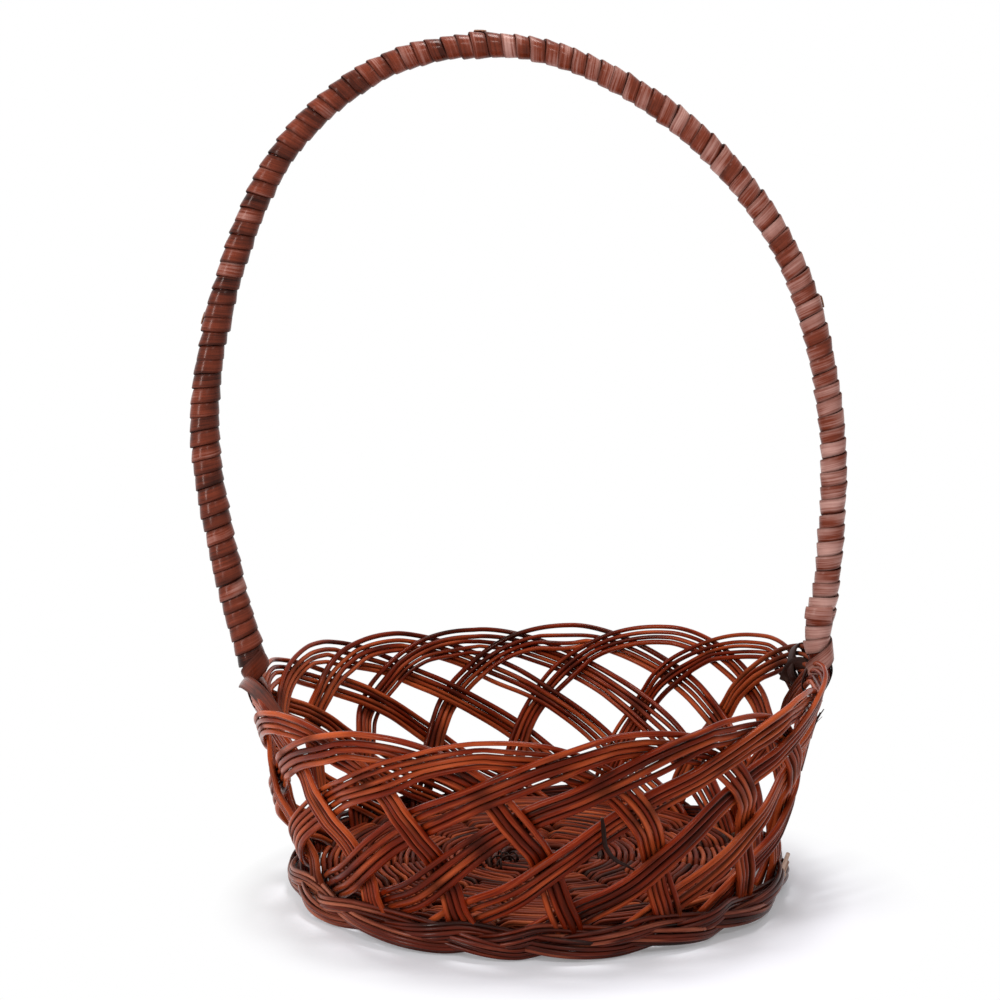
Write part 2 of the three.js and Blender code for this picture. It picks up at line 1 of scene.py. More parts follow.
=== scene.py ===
"""Looks of a round willow handle basket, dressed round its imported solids.

The wall's bundles, the base's sticks and rounds, the foot's strands, the handle's rod, its wrap and its
lashings all become rods and strips of stained, varnished willow in the places of their solids.
Lengths are in metres and angles in radians. +Z is up, the floor is z = 0 and the viewer stands at -Y.
"""
from __future__ import annotations

import logging
import math
from dataclasses import dataclass
from enum import Enum

import bpy
import numpy as np
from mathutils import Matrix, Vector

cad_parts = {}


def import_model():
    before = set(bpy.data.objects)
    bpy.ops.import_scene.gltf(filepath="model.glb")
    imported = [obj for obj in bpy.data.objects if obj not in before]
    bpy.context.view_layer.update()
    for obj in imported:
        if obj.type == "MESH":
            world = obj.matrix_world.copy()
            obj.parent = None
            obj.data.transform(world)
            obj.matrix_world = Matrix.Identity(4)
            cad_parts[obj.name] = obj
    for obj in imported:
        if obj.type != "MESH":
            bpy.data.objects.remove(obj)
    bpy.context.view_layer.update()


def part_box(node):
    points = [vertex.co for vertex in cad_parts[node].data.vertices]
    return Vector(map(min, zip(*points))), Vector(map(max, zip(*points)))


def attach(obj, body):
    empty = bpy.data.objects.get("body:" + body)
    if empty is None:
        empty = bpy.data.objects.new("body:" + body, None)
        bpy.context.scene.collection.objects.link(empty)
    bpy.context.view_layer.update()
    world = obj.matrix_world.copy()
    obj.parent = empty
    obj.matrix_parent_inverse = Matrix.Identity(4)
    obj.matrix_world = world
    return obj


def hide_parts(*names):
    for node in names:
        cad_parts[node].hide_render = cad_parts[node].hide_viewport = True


LOG = logging.getLogger("basket")
MM = 0.001
TURN = 2 * math.pi
UP = np.array([0.0, 0.0, 1.0])
ALONG_Y = np.array([0.0, 1.0, 0.0])
WHITE = (1.0, 1.0, 1.0, 1.0)
NOISE_RANGE = (0.3, 0.7)


class Slot(Enum):
    """Material slots of the record."""

    STICKS = "base_sticks"
    WEAVE = "base_weave"
    WALL = "wall_rods"
    FOOT = "foot_plait"
    ROD = "handle_rod"
    WRAP = "handle_wrap"
    LASHING = "handle_lashing"


class Side(Enum):
    """The two ends of the handle, as the angle of each round the basket's axis."""

    RIGHT = 0.0
    LEFT = math.pi


# Numbers and vectors in whole arrays


def unit(vectors: np.ndarray) -> np.ndarray:
    """Scales vectors to length 1."""
    return vectors / np.linalg.norm(vectors, axis=-1, keepdims=True)


def ease(share: np.ndarray) -> np.ndarray:
    """Turns a share from 0 to 1 into 3s^2 - 2s^3, which starts and ends level."""
    held = np.clip(share, 0, 1)
    return held * held * (3 - 2 * held)


def wander(
    rng: np.random.Generator, count: int, along: np.ndarray, slowest: float, waves: int = 2
) -> np.ndarray:
    """Draws smooth random curves.

    Each curve is a sum of sine waves at random phases, every wave about twice as fast and 0.6 times as high
    as the one before, scaled to a spread of 1.

    Args:
        rng: source of the random phases.
        count: number of curves.
        along: positions (n,) along the curves.
        slowest: length of the slowest wave, in the units of along.
        waves: number of sine waves in a curve.

    Returns:
        Heights (count, n).
    """
    order = np.arange(waves)
    heights = 0.6 ** order
    phases = rng.uniform(0, TURN, (count, waves, 1))
    pace = rng.uniform(0.8, 1.25, (count, waves, 1)) * 2.0 ** order[:, None] / slowest
    curves = np.sin(TURN * pace * along + phases)
    return np.tensordot(curves, heights, axes=(1, 0)) * math.sqrt(2 / np.sum(heights ** 2))


def lengths_along(lines: np.ndarray) -> np.ndarray:
    """Adds up the steps along lines (..., n, 3) and gives each point's distance from the start (..., n)."""
    steps = np.linalg.norm(np.diff(lines, axis=-2), axis=-1)
    return np.concatenate([np.zeros(steps.shape[:-1] + (1,)), np.cumsum(steps, axis=-1)], axis=-1)


def read_along(at: np.ndarray, lengths: np.ndarray, values: np.ndarray) -> np.ndarray:
    """Reads values (n, 3) that are known at lengths (n,) at other lengths."""
    return np.stack([np.interp(at, lengths, values[:, axis]) for axis in range(3)], axis=-1)


def smooth_line(knots: np.ndarray, samples: int) -> np.ndarray:
    """Runs a centripetal Catmull-Rom curve through points.

    Between two points the curve is the cubic with their slopes, where each slope weighs the chords before and
    after it by the square roots of their lengths.

    Args:
        knots: points (n, 3).
        samples: points between two knots.

    Returns:
        Points (m, 3) along the curve.
    """
    whole = np.concatenate([2 * knots[:1] - knots[1:2], knots, 2 * knots[-1:] - knots[-2:-1]])
    before, one, two, after = whole[:-3], whole[1:-2], whole[2:-1], whole[3:]
    first = np.sqrt(np.linalg.norm(one - before, axis=1, keepdims=True))
    middle = np.sqrt(np.linalg.norm(two - one, axis=1, keepdims=True))
    last = np.sqrt(np.linalg.norm(after - two, axis=1, keepdims=True))
    start = ((one - before) / first - (two - before) / (first + middle) + (two - one) / middle) * middle
    end = ((two - one) / middle - (after - one) / (middle + last) + (after - two) / last) * middle
    u = np.linspace(0, 1, samples, endpoint=False)[None, :, None]
    one, two, start, end = (value[:, None] for value in (one, two, start, end))
    rows = (2 * u ** 3 - 3 * u ** 2 + 1) * one + (u ** 3 - 2 * u ** 2 + u) * start
    rows = rows + (3 * u ** 2 - 2 * u ** 3) * two + (u ** 3 - u ** 2) * end
    return np.concatenate([rows.reshape(-1, 3), knots[-1:]])


def round_section(corners: int) -> np.ndarray:
    """Gives the corners (corners, 2) of a circle of radius 1, counter-clockwise."""
    angles = TURN * np.arange(corners) / corners
    return np.stack([np.cos(angles), np.sin(angles)], axis=-1)


def rod_sections(radii: np.ndarray, corners: int) -> np.ndarray:
    """Gives round sections (..., corners, 2) of the given radii."""
    return radii[..., None, None] * round_section(corners)


def strip_section(half_width: np.ndarray, thickness: float, crown: float, tilt: np.ndarray) -> np.ndarray:
    """Gives the section of a split strip.

    Across v from -1 to 1 the outer face lies at thickness + crown (1 - v^2) - tilt v, the inner face lies one
    thickness lower, and the edges are rounded by drawing the outermost corners to the middle.

    Args:
        half_width: half widths (n,).
        thickness: thickness in the middle.
        crown: rise of the middle over the edges.
        tilt: rise (n,) of the edge at v = -1.

    Returns:
        Offsets (n, 11, 2), counter-clockwise.
    """
    outer = np.array([1.0, 0.9, 0.5, 0.0, -0.5, -0.9, -1.0])
    inner = np.array([-0.9, -0.4, 0.4, 0.9])
    across = np.concatenate([outer, inner])
    drop = np.array([0.5, 0.12, 0, 0, 0, 0.12, 0.5, 1, 1, 1, 1]) * thickness
    height = thickness + crown * (1 - across ** 2) - drop
    out = height - tilt[:, None] * across
    return np.stack([half_width[:, None] * across, out], axis=-1)


class PieceMesh:
    """Swept rods and strips, gathered until they become the mesh of one piece."""

    def __init__(self) -> None:
        """Starts with nothing in it."""
        self._vertices: list[np.ndarray] = []
        self._quads: list[np.ndarray] = []
        self._caps: list[np.ndarray] = []
        self._grain: list[np.ndarray] = []
        self._tint: list[np.ndarray] = []
        self._groove: list[np.ndarray] = []
        self._count = 0

    def sweep(
        self,
        lines: np.ndarray,
        outward: np.ndarray,
        sections: np.ndarray,
        tint: np.ndarray,
        groove: np.ndarray | float = 0.0,
    ) -> PieceMesh:
        """Carries a section along each line and closes both ends.

        The direction is the slope of the line, across is outward x direction, out is direction x across, and
        a corner (a, o) of a section lies at line + a across + o out.

        Args:
            lines: points (rods, stations, 3).
            outward: roughly the way of the sections' second axis, of a shape that spreads to that of lines.
            sections: offsets of a shape that spreads to (rods, stations, corners, 2).
            tint: tone of the wood from 0, dark, to 1, light, of a shape that spreads to (rods, stations).
            groove: depth of painted shade, and on the wall of stain, of a shape that spreads to (rods,
                stations, corners).

        Returns:
            This mesh.
        """
        rods, stations = lines.shape[:2]
        corners = sections.shape[-2]
        shape = (rods, stations, corners)
        offsets = np.broadcast_to(sections, shape + (2,))
        direction = unit(np.gradient(lines, axis=1))
        across = unit(np.cross(np.broadcast_to(outward, lines.shape), direction))
        out = np.cross(direction, across)
        points = lines[:, :, None] + offsets[..., :1] * across[:, :, None]
        points = points + offsets[..., 1:] * out[:, :, None]
        index = self._count + np.arange(rods * stations * corners).reshape(shape)
        after = np.roll(index, -1, axis=2)
        quads = np.stack([index[:, :-1], after[:, :-1], after[:, 1:], index[:, 1:]], axis=-1)
        along = lengths_along(lines)[:, :, None] + (self._count + np.arange(rods))[:, None, None]
        grain = np.concatenate([offsets, np.broadcast_to(along, shape)[..., None]], axis=-1)
        self._vertices.append(points.reshape(-1, 3))
        self._quads.append(quads.reshape(-1, 4))
        self._caps.extend(np.concatenate([index[:, 0, ::-1], index[:, -1]]))
        self._grain.append(grain.reshape(-1, 3))
        self._tint.append(np.broadcast_to(np.asarray(tint)[..., None], shape).ravel())
        self._groove.append(np.broadcast_to(groove, shape).ravel())
        self._count += points.size // 3
        return self

    def make(self, name: str, willow: bpy.types.Material, slot: Slot, *nodes: str) -> None:
        """Makes the piece and puts it on the basket's only body.

        Args:
            name: name of the piece.
            willow: material of the sides. The ends have that of cut willow.
            slot: material slot of the piece; not used.
            nodes: solids that the piece stands for.
        """
        quads = np.concatenate(self._quads)
        corners = np.concatenate([quads.ravel(), *self._caps])
        cap_sizes = np.array([len(cap) for cap in self._caps])
        sizes = np.concatenate([np.full(len(quads), 4), cap_sizes])
        is_cap = np.arange(len(sizes)) >= len(quads)
        mesh = bpy.data.meshes.new(name)
        mesh.vertices.add(self._count)
        mesh.vertices.foreach_set("co", np.concatenate(self._vertices).astype(np.float32).ravel())
        mesh.loops.add(len(corners))
        mesh.loops.foreach_set("vertex_index", corners.astype(np.int32))
        mesh.polygons.add(len(sizes))
        mesh.polygons.foreach_set("loop_start", (np.cumsum(sizes) - sizes).astype(np.int32))
        mesh.polygons.foreach_set("use_smooth", ~is_cap)
        mesh.polygons.foreach_set("material_index", is_cap.astype(np.int32))
        grain = mesh.attributes.new("grain", "FLOAT_VECTOR", "POINT")
        grain.data.foreach_set("vector", np.concatenate(self._grain).astype(np.float32).ravel())
        for label, values in (("tint", self._tint), ("groove", self._groove)):
            attribute = mesh.attributes.new(label, "FLOAT", "POINT")
            attribute.data.foreach_set("value", np.concatenate(values).astype(np.float32))
        mesh.materials.append(willow)
        mesh.materials.append(CUT_FINISH.material())
        mesh.update(calc_edges=True)
        mesh.validate()
        piece = bpy.data.objects.new(name, mesh)
        bpy.context.scene.collection.objects.link(piece)
        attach(piece, "root")
        if nodes:
            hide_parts(*nodes)
        LOG.info("%s: %d faces", piece.name, len(mesh.polygons))


# Finishes


def linear(colour: str) -> tuple[float, float, float, float]:
    """Turns a colour such as #8a3f22 into linear red, green, blue and alpha."""
    values = np.array([int(colour[i : i + 2], 16) for i in (1, 3, 5)]) / 255
    made = np.where(values <= 0.04045, values / 12.92, ((values + 0.055) / 1.055) ** 2.4)
    return (*made.tolist(), 1.0)


class Nodes:
    """Adds nodes to a tree and links them."""

    def __init__(self, tree: bpy.types.NodeTree) -> None:
        """Empties the tree."""
        self.tree = tree
        tree.nodes.clear()

    def add(self, kind: str, inputs: dict, **settings: object) -> bpy.types.Node:
        """Adds one node.

        Args:
            kind: Blender's name of the node type.
            inputs: socket name or number to a value, or to an output socket to link.
            settings: properties of the node.

        Returns:
            The node.
        """
        node = self.tree.nodes.new(kind)
        for name, value in settings.items():
            setattr(node, name, value)
        for name, value in inputs.items():
            if isinstance(value, bpy.types.NodeSocket):
                self.tree.links.new(value, node.inputs[name])
            else:
                node.inputs[name].default_value = value
        return node

    def math(self, operation: str, one: object, two: object) -> bpy.types.NodeSocket:
        """Joins two numbers by an operation such as ADD."""
        return self.add("ShaderNodeMath", {0: one, 1: two}, operation=operation).outputs[0]

    def spread(self, value: bpy.types.NodeSocket, source: tuple, target: tuple) -> bpy.types.NodeSocket:
        """Maps a number from one range to another, held at its ends."""
        limits = {"Value": value, "From Min": source[0], "From Max": source[1]}
        ends = {"To Min": target[0], "To Max": target[1]}
        return self.add("ShaderNodeMapRange", {**limits, **ends}).outputs["Result"]

    def mix(self, share: object, one: object, two: object) -> bpy.types.NodeSocket:
        """Mixes two colours."""
        node = self.add("ShaderNodeMix", {0: share, 6: one, 7: two}, data_type="RGBA")
        return node.outputs[2]

    def cells(self, place: bpy.types.NodeSocket, cell: tuple) -> bpy.types.NodeSocket:
        """Scales a place so that cells of the given sizes along its three axes come to a size of 1."""
        inputs = {"Vector": place, "Scale": tuple(1 / size for size in cell)}
        return self.add("ShaderNodeMapping", inputs).outputs[0]

    def noise(self, place: bpy.types.NodeSocket, cell: tuple, detail: float) -> bpy.types.NodeSocket:
        """Gives noise whose cells have the given sizes along the three axes of place."""
        inputs = {"Vector": self.cells(place, cell), "Scale": 1.0, "Detail": detail}
        return self.add("ShaderNodeTexNoise", inputs).outputs[0]

    def seen_rays(self) -> bpy.types.NodeSocket:
        """Gives 1 for rays that see the background: from the camera, in gloss and through glass."""
        path = self.add("ShaderNodeLightPath", {})
        either = self.math("MAXIMUM", path.outputs["Is Camera Ray"], path.outputs["Is Glossy Ray"])
        return self.math("MAXIMUM", either, path.outputs["Is Transmission Ray"])


@dataclass(frozen=True)
class Finish:
    """A finish, which becomes one material."""

    name: str

    def material(self) -> bpy.types.Material:
        """Gives the material, which is made when it is first asked for."""
        found = bpy.data.materials.get(self.name)
        if found:
            return found
        made = bpy.data.materials.new(self.name)
        made.use_nodes = True
        nodes = Nodes(made.node_tree)
        nodes.add("ShaderNodeOutputMaterial", {"Surface": self.shader(nodes).outputs[0]})
        return made

    def shader(self, nodes: Nodes) -> bpy.types.Node:
        """Builds the look and gives its last node."""
        raise NotImplementedError


@dataclass(frozen=True)
class WillowFinish(Finish):
    """Stained and varnished willow: fibres along the rod, blotches of stain, knots and painted shade in
    grooves.
    """

    dark: str = "#1a0401"
    middle: str = "#701e07"
    light: str = "#b04e26"
    roughness: float = 0.2
    specular: float = 0.12
    shine: tuple[float, float, float, float] = (1.0, 0.7, 0.58, 1.0)
    fibre: tuple[float, float, float] = (0.45 * MM, 0.45 * MM, 14 * MM)
    fibre_tone: float = 0.14
    blotch: tuple[float, float, float] = (5 * MM, 5 * MM, 32 * MM)
    blotch_tone: float = 0.26
    knot: tuple[float, float, float] = (4 * MM, 4 * MM, 26 * MM)
    knot_stain: float = 0.75
    knot_edge: tuple[float, float] = (0.06, 0.2)
    knot_height: float = 0.6
    # painted shade in grooves and along edges, with stain at the wall's crossings
    groove_shade_and_stain: float = 0.92
    groove_dullness: float = 0.5
    worn: tuple[float, float] = (-0.07, 0.1)
    bump: float = 0.22
    bump_depth: float = 0.2 * MM

    def shader(self, nodes: Nodes) -> bpy.types.Node:
        """Builds the look on the pieces' own grain, tint and groove attributes."""
        grain = nodes.add("ShaderNodeAttribute", {}, attribute_name="grain").outputs["Vector"]
        tint = nodes.add("ShaderNodeAttribute", {}, attribute_name="tint").outputs["Fac"]
        groove = nodes.add("ShaderNodeAttribute", {}, attribute_name="groove").outputs["Fac"]
        fibre = nodes.noise(grain, self.fibre, 2.0)
        blotch = nodes.noise(grain, self.blotch, 3.0)
        streaks = nodes.spread(fibre, NOISE_RANGE, (-self.fibre_tone, self.fibre_tone))
        clouds = nodes.spread(blotch, NOISE_RANGE, (-self.blotch_tone, self.blotch_tone))
        tone = nodes.math("ADD", tint, nodes.math("ADD", streaks, clouds))
        ramp = nodes.add("ShaderNodeValToRGB", {"Fac": tone})
        ramp.color_ramp.elements[0].color = linear(self.dark)
        ramp.color_ramp.elements[1].color = linear(self.light)
        ramp.color_ramp.elements.new(0.5).color = linear(self.middle)
        spots = nodes.add("ShaderNodeTexVoronoi", {"Vector": nodes.cells(grain, self.knot), "Scale": 1.0})
        knot = nodes.spread(spots.outputs["Distance"], self.knot_edge, (self.knot_stain, 0.0))
        stained = nodes.mix(knot, ramp.outputs["Color"], linear(self.dark))
        # painted shade: the groove attribute mixes the colour towards dark; on the wall it also carries stain
        # at crossings and dark patches
        deep = nodes.math("MULTIPLY", groove, self.groove_shade_and_stain)
        relief = nodes.math("SUBTRACT", fibre, nodes.math("MULTIPLY", knot, self.knot_height))
        depth = {"Strength": self.bump, "Distance": self.bump_depth}
        bump = nodes.add("ShaderNodeBump", {"Height": relief, **depth})
        worn = nodes.spread(blotch, NOISE_RANGE, tuple(self.roughness + more for more in self.worn))
        dull = nodes.math("MULTIPLY", groove, self.groove_dullness)
        return nodes.add("ShaderNodeBsdfPrincipled", {
            "Base Color": nodes.mix(deep, stained, linear(self.dark)),
            "Roughness": nodes.math("ADD", worn, dull),
            "Normal": bump.outputs[0],
            "Specular IOR Level": self.specular,
            "Specular Tint": self.shine,
        })


@dataclass(frozen=True)
class CutFinish(Finish):
    """The cut end of a rod: a pale ring of wood with darker stain soaked in."""

    name: str = "cut_willow"
    pale: str = "#9a6a4a"
    soaked: str = "#4a2010"
    pore: tuple[float, float, float] = (0.6 * MM, 0.6 * MM, 0.6 * MM)
    pore_range: tuple[float, float] = (0.35, 0.65)
    bump: float = 0.4
    bump_depth: float = 0.2 * MM
    roughness: float = 0.7

    def shader(self, nodes: Nodes) -> bpy.types.Node:
        """Builds the look on Object coordinates."""
        place = nodes.add("ShaderNodeTexCoord", {}).outputs["Object"]
        pores = nodes.noise(place, self.pore, 3.0)
        share = nodes.spread(pores, self.pore_range, (0.0, 1.0))
        depth = {"Strength": self.bump, "Distance": self.bump_depth}
        bump = nodes.add("ShaderNodeBump", {"Height": pores, **depth})
        colour = nodes.mix(share, linear(self.pale), linear(self.soaked))
        inputs = {"Base Color": colour, "Normal": bump.outputs[0], "Roughness": self.roughness}
        return nodes.add("ShaderNodeBsdfPrincipled", inputs)


@dataclass(frozen=True)
class PaperFinish(Finish):
    """White paper near the basket, which takes its shadow, and plain white from some way off."""

    name: str = "white_paper"
    middle: tuple[float, float, float] = (0.0, 0.0, 0.0)
    start: float = 0.105
    end: float = 0.15
    glow: float = 0.2
    matte: tuple[float, float, float, float] = (0.91, 0.91, 0.97, 1.0)

    def shader(self, nodes: Nodes) -> bpy.types.Node:
        """Mixes matt paper and white by the distance from the middle, for rays that see the floor."""
        place = nodes.add("ShaderNodeTexCoord", {}).outputs["Object"]
        ends = {0: place, 1: self.middle}
        away = nodes.add("ShaderNodeVectorMath", ends, operation="DISTANCE").outputs["Value"]
        far = nodes.spread(away, (self.start, self.end), (self.glow, 1.0))
        matte = nodes.add("ShaderNodeBsdfDiffuse", {"Color": self.matte})
        plain = nodes.add("ShaderNodeEmission", {"Color": WHITE, "Strength": 1.0})
        seen = nodes.math("MULTIPLY", far, nodes.seen_rays())
        return nodes.add("ShaderNodeMixShader", {0: seen, 1: matte.outputs[0], 2: plain.outputs[0]})


WALL_FINISH = WillowFinish("wall_willow")
BASE_FINISH = WillowFinish("base_willow", dark="#1e0602", middle="#74250a", light="#b4562f", roughness=0.32)
FOOT_FINISH = WillowFinish(
    "foot_willow", middle="#5e1c0a", light="#a85e44", specular=0.16, shine=(1.0, 0.85, 0.8, 1.0)
)
WRAP_FINISH = WillowFinish(
    "wrap_willow", dark="#240803", middle="#74321f", light="#c4968a", roughness=0.24, specular=0.18,
    bump=0.12, shine=(1.0, 0.82, 0.76, 1.0), fibre=(0.6 * MM, 0.6 * MM, 22 * MM),
    blotch=(9 * MM, 9 * MM, 26 * MM), knot=(16 * MM, 16 * MM, 90 * MM),
)
DARK_FINISH = WillowFinish("dark_willow", dark="#100504", middle="#2c120c", light="#552a1c", roughness=0.4)
BARE_FINISH = WillowFinish("bare_willow", dark="#5a3a2c", middle="#a07a66", light="#d0b8a8", roughness=0.5)
CUT_FINISH = CutFinish()


# The wall


@dataclass(frozen=True)
class Bell:
    """A bell on the wall: its size, its place in degrees round and mm up, and its reach in degrees and mm."""

    size: float
    place: float
    place_z: float
    reach: float
    reach_z: float

    def at(self, angle: np.ndarray, z: np.ndarray) -> np.ndarray:
        """Gives size exp(-a^2 - b^2), a reaches round the wall and b reaches up from its place."""
        away = np.degrees(np.angle(np.exp(1j * (angle - math.radians(self.place))))) / self.reach
        above = (z / MM - self.place_z) / self.reach_z
        return self.size * np.exp(-(away ** 2) - above ** 2)


@dataclass(frozen=True)
class WallShape:
    """The cone that the wall lies on, and the arch that every bundle follows on it.

    Along an arch t runs from -1 at the foot of its shallow leg, over its top at 0, to 1 at the foot of its
    steep leg. It has gone round by crown t + run t |t| and stands at top - (top - foot) t^2. Each arch stands
    some degrees ahead of its even place, its drift.
    """

    axis_x: float
    bundles: int = 16
    bundle_width: float = 10 * MM
    foot_radius: float = 98 * MM
    foot_z: float = 8 * MM
    rim_top: float = 90 * MM
    lean: float = math.radians(17)
    shallow_crown: float = math.radians(32)
    shallow_run: float = math.radians(44)
    steep_crown: float = math.radians(62)
    steep_run: float = math.radians(-20)
    loose_crossings: int = 2
    shift_length: float = 14 * MM
    calm_half: int = 10
    most_short: float = 0.9
    calm_reach: float = 0.5
    drifts: tuple[float, ...] = (0, 0, 0, 4, 5, 4, 2, 0, 0, 0, 0, 1.5, 2, 5, 2.5, 0)
    rim_lift: tuple = (
        (-150, -2), (-110, -1), (-60, 4), (-30, 7.5), (-12, 10), (0, 10), (15, 9), (35, 6), (60, 3),
        (105, -1), (150, 2), (180, 0),
    )
    sag: float = 4 * MM
    sag_z: float = 28 * MM
    sag_reach: float = 12 * MM
    bulges: tuple[Bell, ...] = (
        Bell(4.5, 194, 38, 16, 13), Bell(-5.5, 0, 95, 25, 40), Bell(-1.2, 180, 92, 22, 22),
    )

    @property
    def arch_top(self) -> float:
        """Height of a bundle's middle line at its top."""
        return self.rim_top - self.bundle_width / 2 * math.cos(self.lean)

    def radius(self, z: np.ndarray) -> np.ndarray:
        """Radius of the middle of the wall at a height."""
        return self.foot_radius + (z - self.foot_z) * math.tan(self.lean)

    def normal(self, angle: np.ndarray) -> np.ndarray:
        """Outward normals of the wall at angles round the axis."""
        flat = np.stack([np.cos(angle), np.sin(angle), np.zeros_like(angle)], axis=-1)
        return flat * math.cos(self.lean) - UP * math.sin(self.lean)

    def bulge(self, angle: np.ndarray, z: np.ndarray) -> np.ndarray:
        """How far the wall bulges out: the sum of its bells, whose sizes are in millimetres."""
        return sum(bell.at(angle, z) for bell in self.bulges) * MM

    def point(self, angle: np.ndarray, z: np.ndarray, offset: np.ndarray | float) -> np.ndarray:
        """Points at a distance outwards from the middle of the wall."""
        radius = self.radius(z) + self.bulge(angle, z)
        level = np.broadcast_to(z, np.shape(angle))
        on_wall = np.stack([self.axis_x + radius * np.cos(angle), radius * np.sin(angle), level], axis=-1)
        return on_wall + self.normal(angle) * np.asarray(offset)[..., None]

    def places(self, table: tuple) -> np.ndarray:
        """Turns rows of degrees round the wall, millimetres up and millimetres out into points (n, 3)."""
        rows = np.array(table, float)
        return self.point(np.radians(rows[..., 0]), rows[..., 1] * MM, rows[..., 2] * MM)

    def crown_and_run(self, t: np.ndarray) -> tuple[np.ndarray, np.ndarray]:
        """The two turns of the leg that t lies on."""
        crown = np.where(t < 0, self.shallow_crown, self.steep_crown)
        run = np.where(t < 0, self.shallow_run, self.steep_run)
        return crown, run

    def arch_angle(self, t: np.ndarray) -> np.ndarray:
        """How far round an arch has gone from its top."""
        crown, run = self.crown_and_run(t)
        return crown * t + run * t * np.abs(t)

    def arch_height(self, t: np.ndarray) -> np.ndarray:
        """Height of an arch's middle line."""
        return self.arch_top - (self.arch_top - self.foot_z) * t * t

    def rise_and_round(self, t: np.ndarray) -> tuple[np.ndarray, np.ndarray]:
        """Lengths that an arch goes up the wall and round it for a step of 1 in t."""
        crown, run = self.crown_and_run(t)
        rise = -2 * (self.arch_top - self.foot_z) * t / math.cos(self.lean)
        return rise, (crown + 2 * run * np.abs(t)) * self.radius(self.arch_height(t))

    def crossing(self, ahead: np.ndarray) -> np.ndarray:
        """Place t where a steep leg meets the shallow leg, at -t, of an arch ahead of it by an angle."""
        crowns = self.shallow_crown + self.steep_crown
        runs = self.shallow_run + self.steep_run
        return 2 * ahead / (crowns + np.sqrt(crowns * crowns + 4 * runs * ahead))

    @property
    def first_crossing(self) -> float:
        """Angle from an arch's top to its first crossing, where the arches stand evenly."""
        return float(self.arch_angle(self.crossing(np.array([TURN / self.bundles])))[0])

    def stand(self, bundle: np.ndarray | int) -> np.ndarray:
        """Angle that each bundle stands ahead of the even place of bundle 0."""
        drift = np.radians(np.array(self.drifts))[np.mod(bundle, self.bundles)]
        return TURN / self.bundles * np.asarray(bundle) + drift

    def wear(self, angle: np.ndarray, z: np.ndarray) -> np.ndarray:
        """How far the worn wall lies above the even one.

        The rim has risen on the right and sunk on the left, by millimetres given at some degrees round it,
        and the rods have sagged over the foot, as sag exp(-((z - sag_z) / sag_reach)^2).
        """
        places, lifts = np.array(self.rim_lift).T
        share = (z - self.foot_z) / (self.rim_top - self.foot_z)
        lift = np.interp(angle, np.radians(places), lifts * MM, period=TURN)
        sagged = self.sag * np.exp(-(((z - self.sag_z) / self.sag_reach) ** 2))
        return lift * share - sagged

    def crossings(self, bundle: int) -> tuple[np.ndarray, np.ndarray]:
        """Lists the crossings of a bundle.

        Under the rim the steep leg keeps inside for the first crossings, and from there on it alternates. The
        shallow leg does the opposite.

        Returns:
            Places t (n,) in order, and the sides (n,) that the bundle lies on there, 1 outside and -1 inside.
        """
        number = np.arange(1, self.bundles)
        outside = (number > self.loose_crossings) & ((number - self.loose_crossings) % 2 == 1)
        side = np.where(outside, 1.0, -1.0)
        steep = self.crossing(self.stand(bundle + number) - self.stand(bundle))
        shallow = self.crossing(self.stand(bundle) - self.stand(bundle - number))
        places = np.concatenate([-shallow[shallow < 1][::-1], steep[steep < 1]])
        return places, np.concatenate([-side[shallow < 1][::-1], side[steep < 1]])

    def weave(self, bundle: int, t: np.ndarray) -> np.ndarray:
        """Side of the wall that a bundle lies on.

        At each crossing it keeps to one side for as long as the other bundle is wide there, and it changes
        sides between two crossings in a smooth step, which is averaged over a longer way near the rim.

        Args:
            bundle: number of the bundle.
            t: places along the arch (n,).

        Returns:
            1 outside to -1 inside (n,).
        """
        middle, sides = self.crossings(bundle)
        rise, round_wall = self.rise_and_round(middle)
        other_rise, other_round = self.rise_and_round(-middle)
        pace = np.hypot(rise, round_wall)
        angle = np.arctan(np.abs(rise / round_wall)) + np.arctan(np.abs(other_rise / other_round))
        sharper = np.minimum(angle, math.pi - angle)
        reach = self.bundle_width / 2 / np.tan(sharper / 2) / pace
        start = middle - reach
        end = middle + reach
        room = start[1:] - end[:-1]
        short = np.maximum(self.shift_length / pace[1:] - room, 0) / (reach[:-1] + reach[1:])
        short = np.minimum(short, self.most_short)
        end[:-1] -= short * reach[:-1]
        start[1:] += short * reach[1:]
        level = np.interp(t, np.stack([start, end], axis=1).ravel(), np.repeat(sides, 2))
        level = 1.5 * level - 0.5 * level ** 3
        window = np.ones(2 * self.calm_half + 1) / (2 * self.calm_half + 1)
        calm = np.convolve(np.pad(level, self.calm_half, mode="edge"), window, mode="valid")
        return level + (calm - level) * np.exp(-((t / self.calm_reach) ** 2))


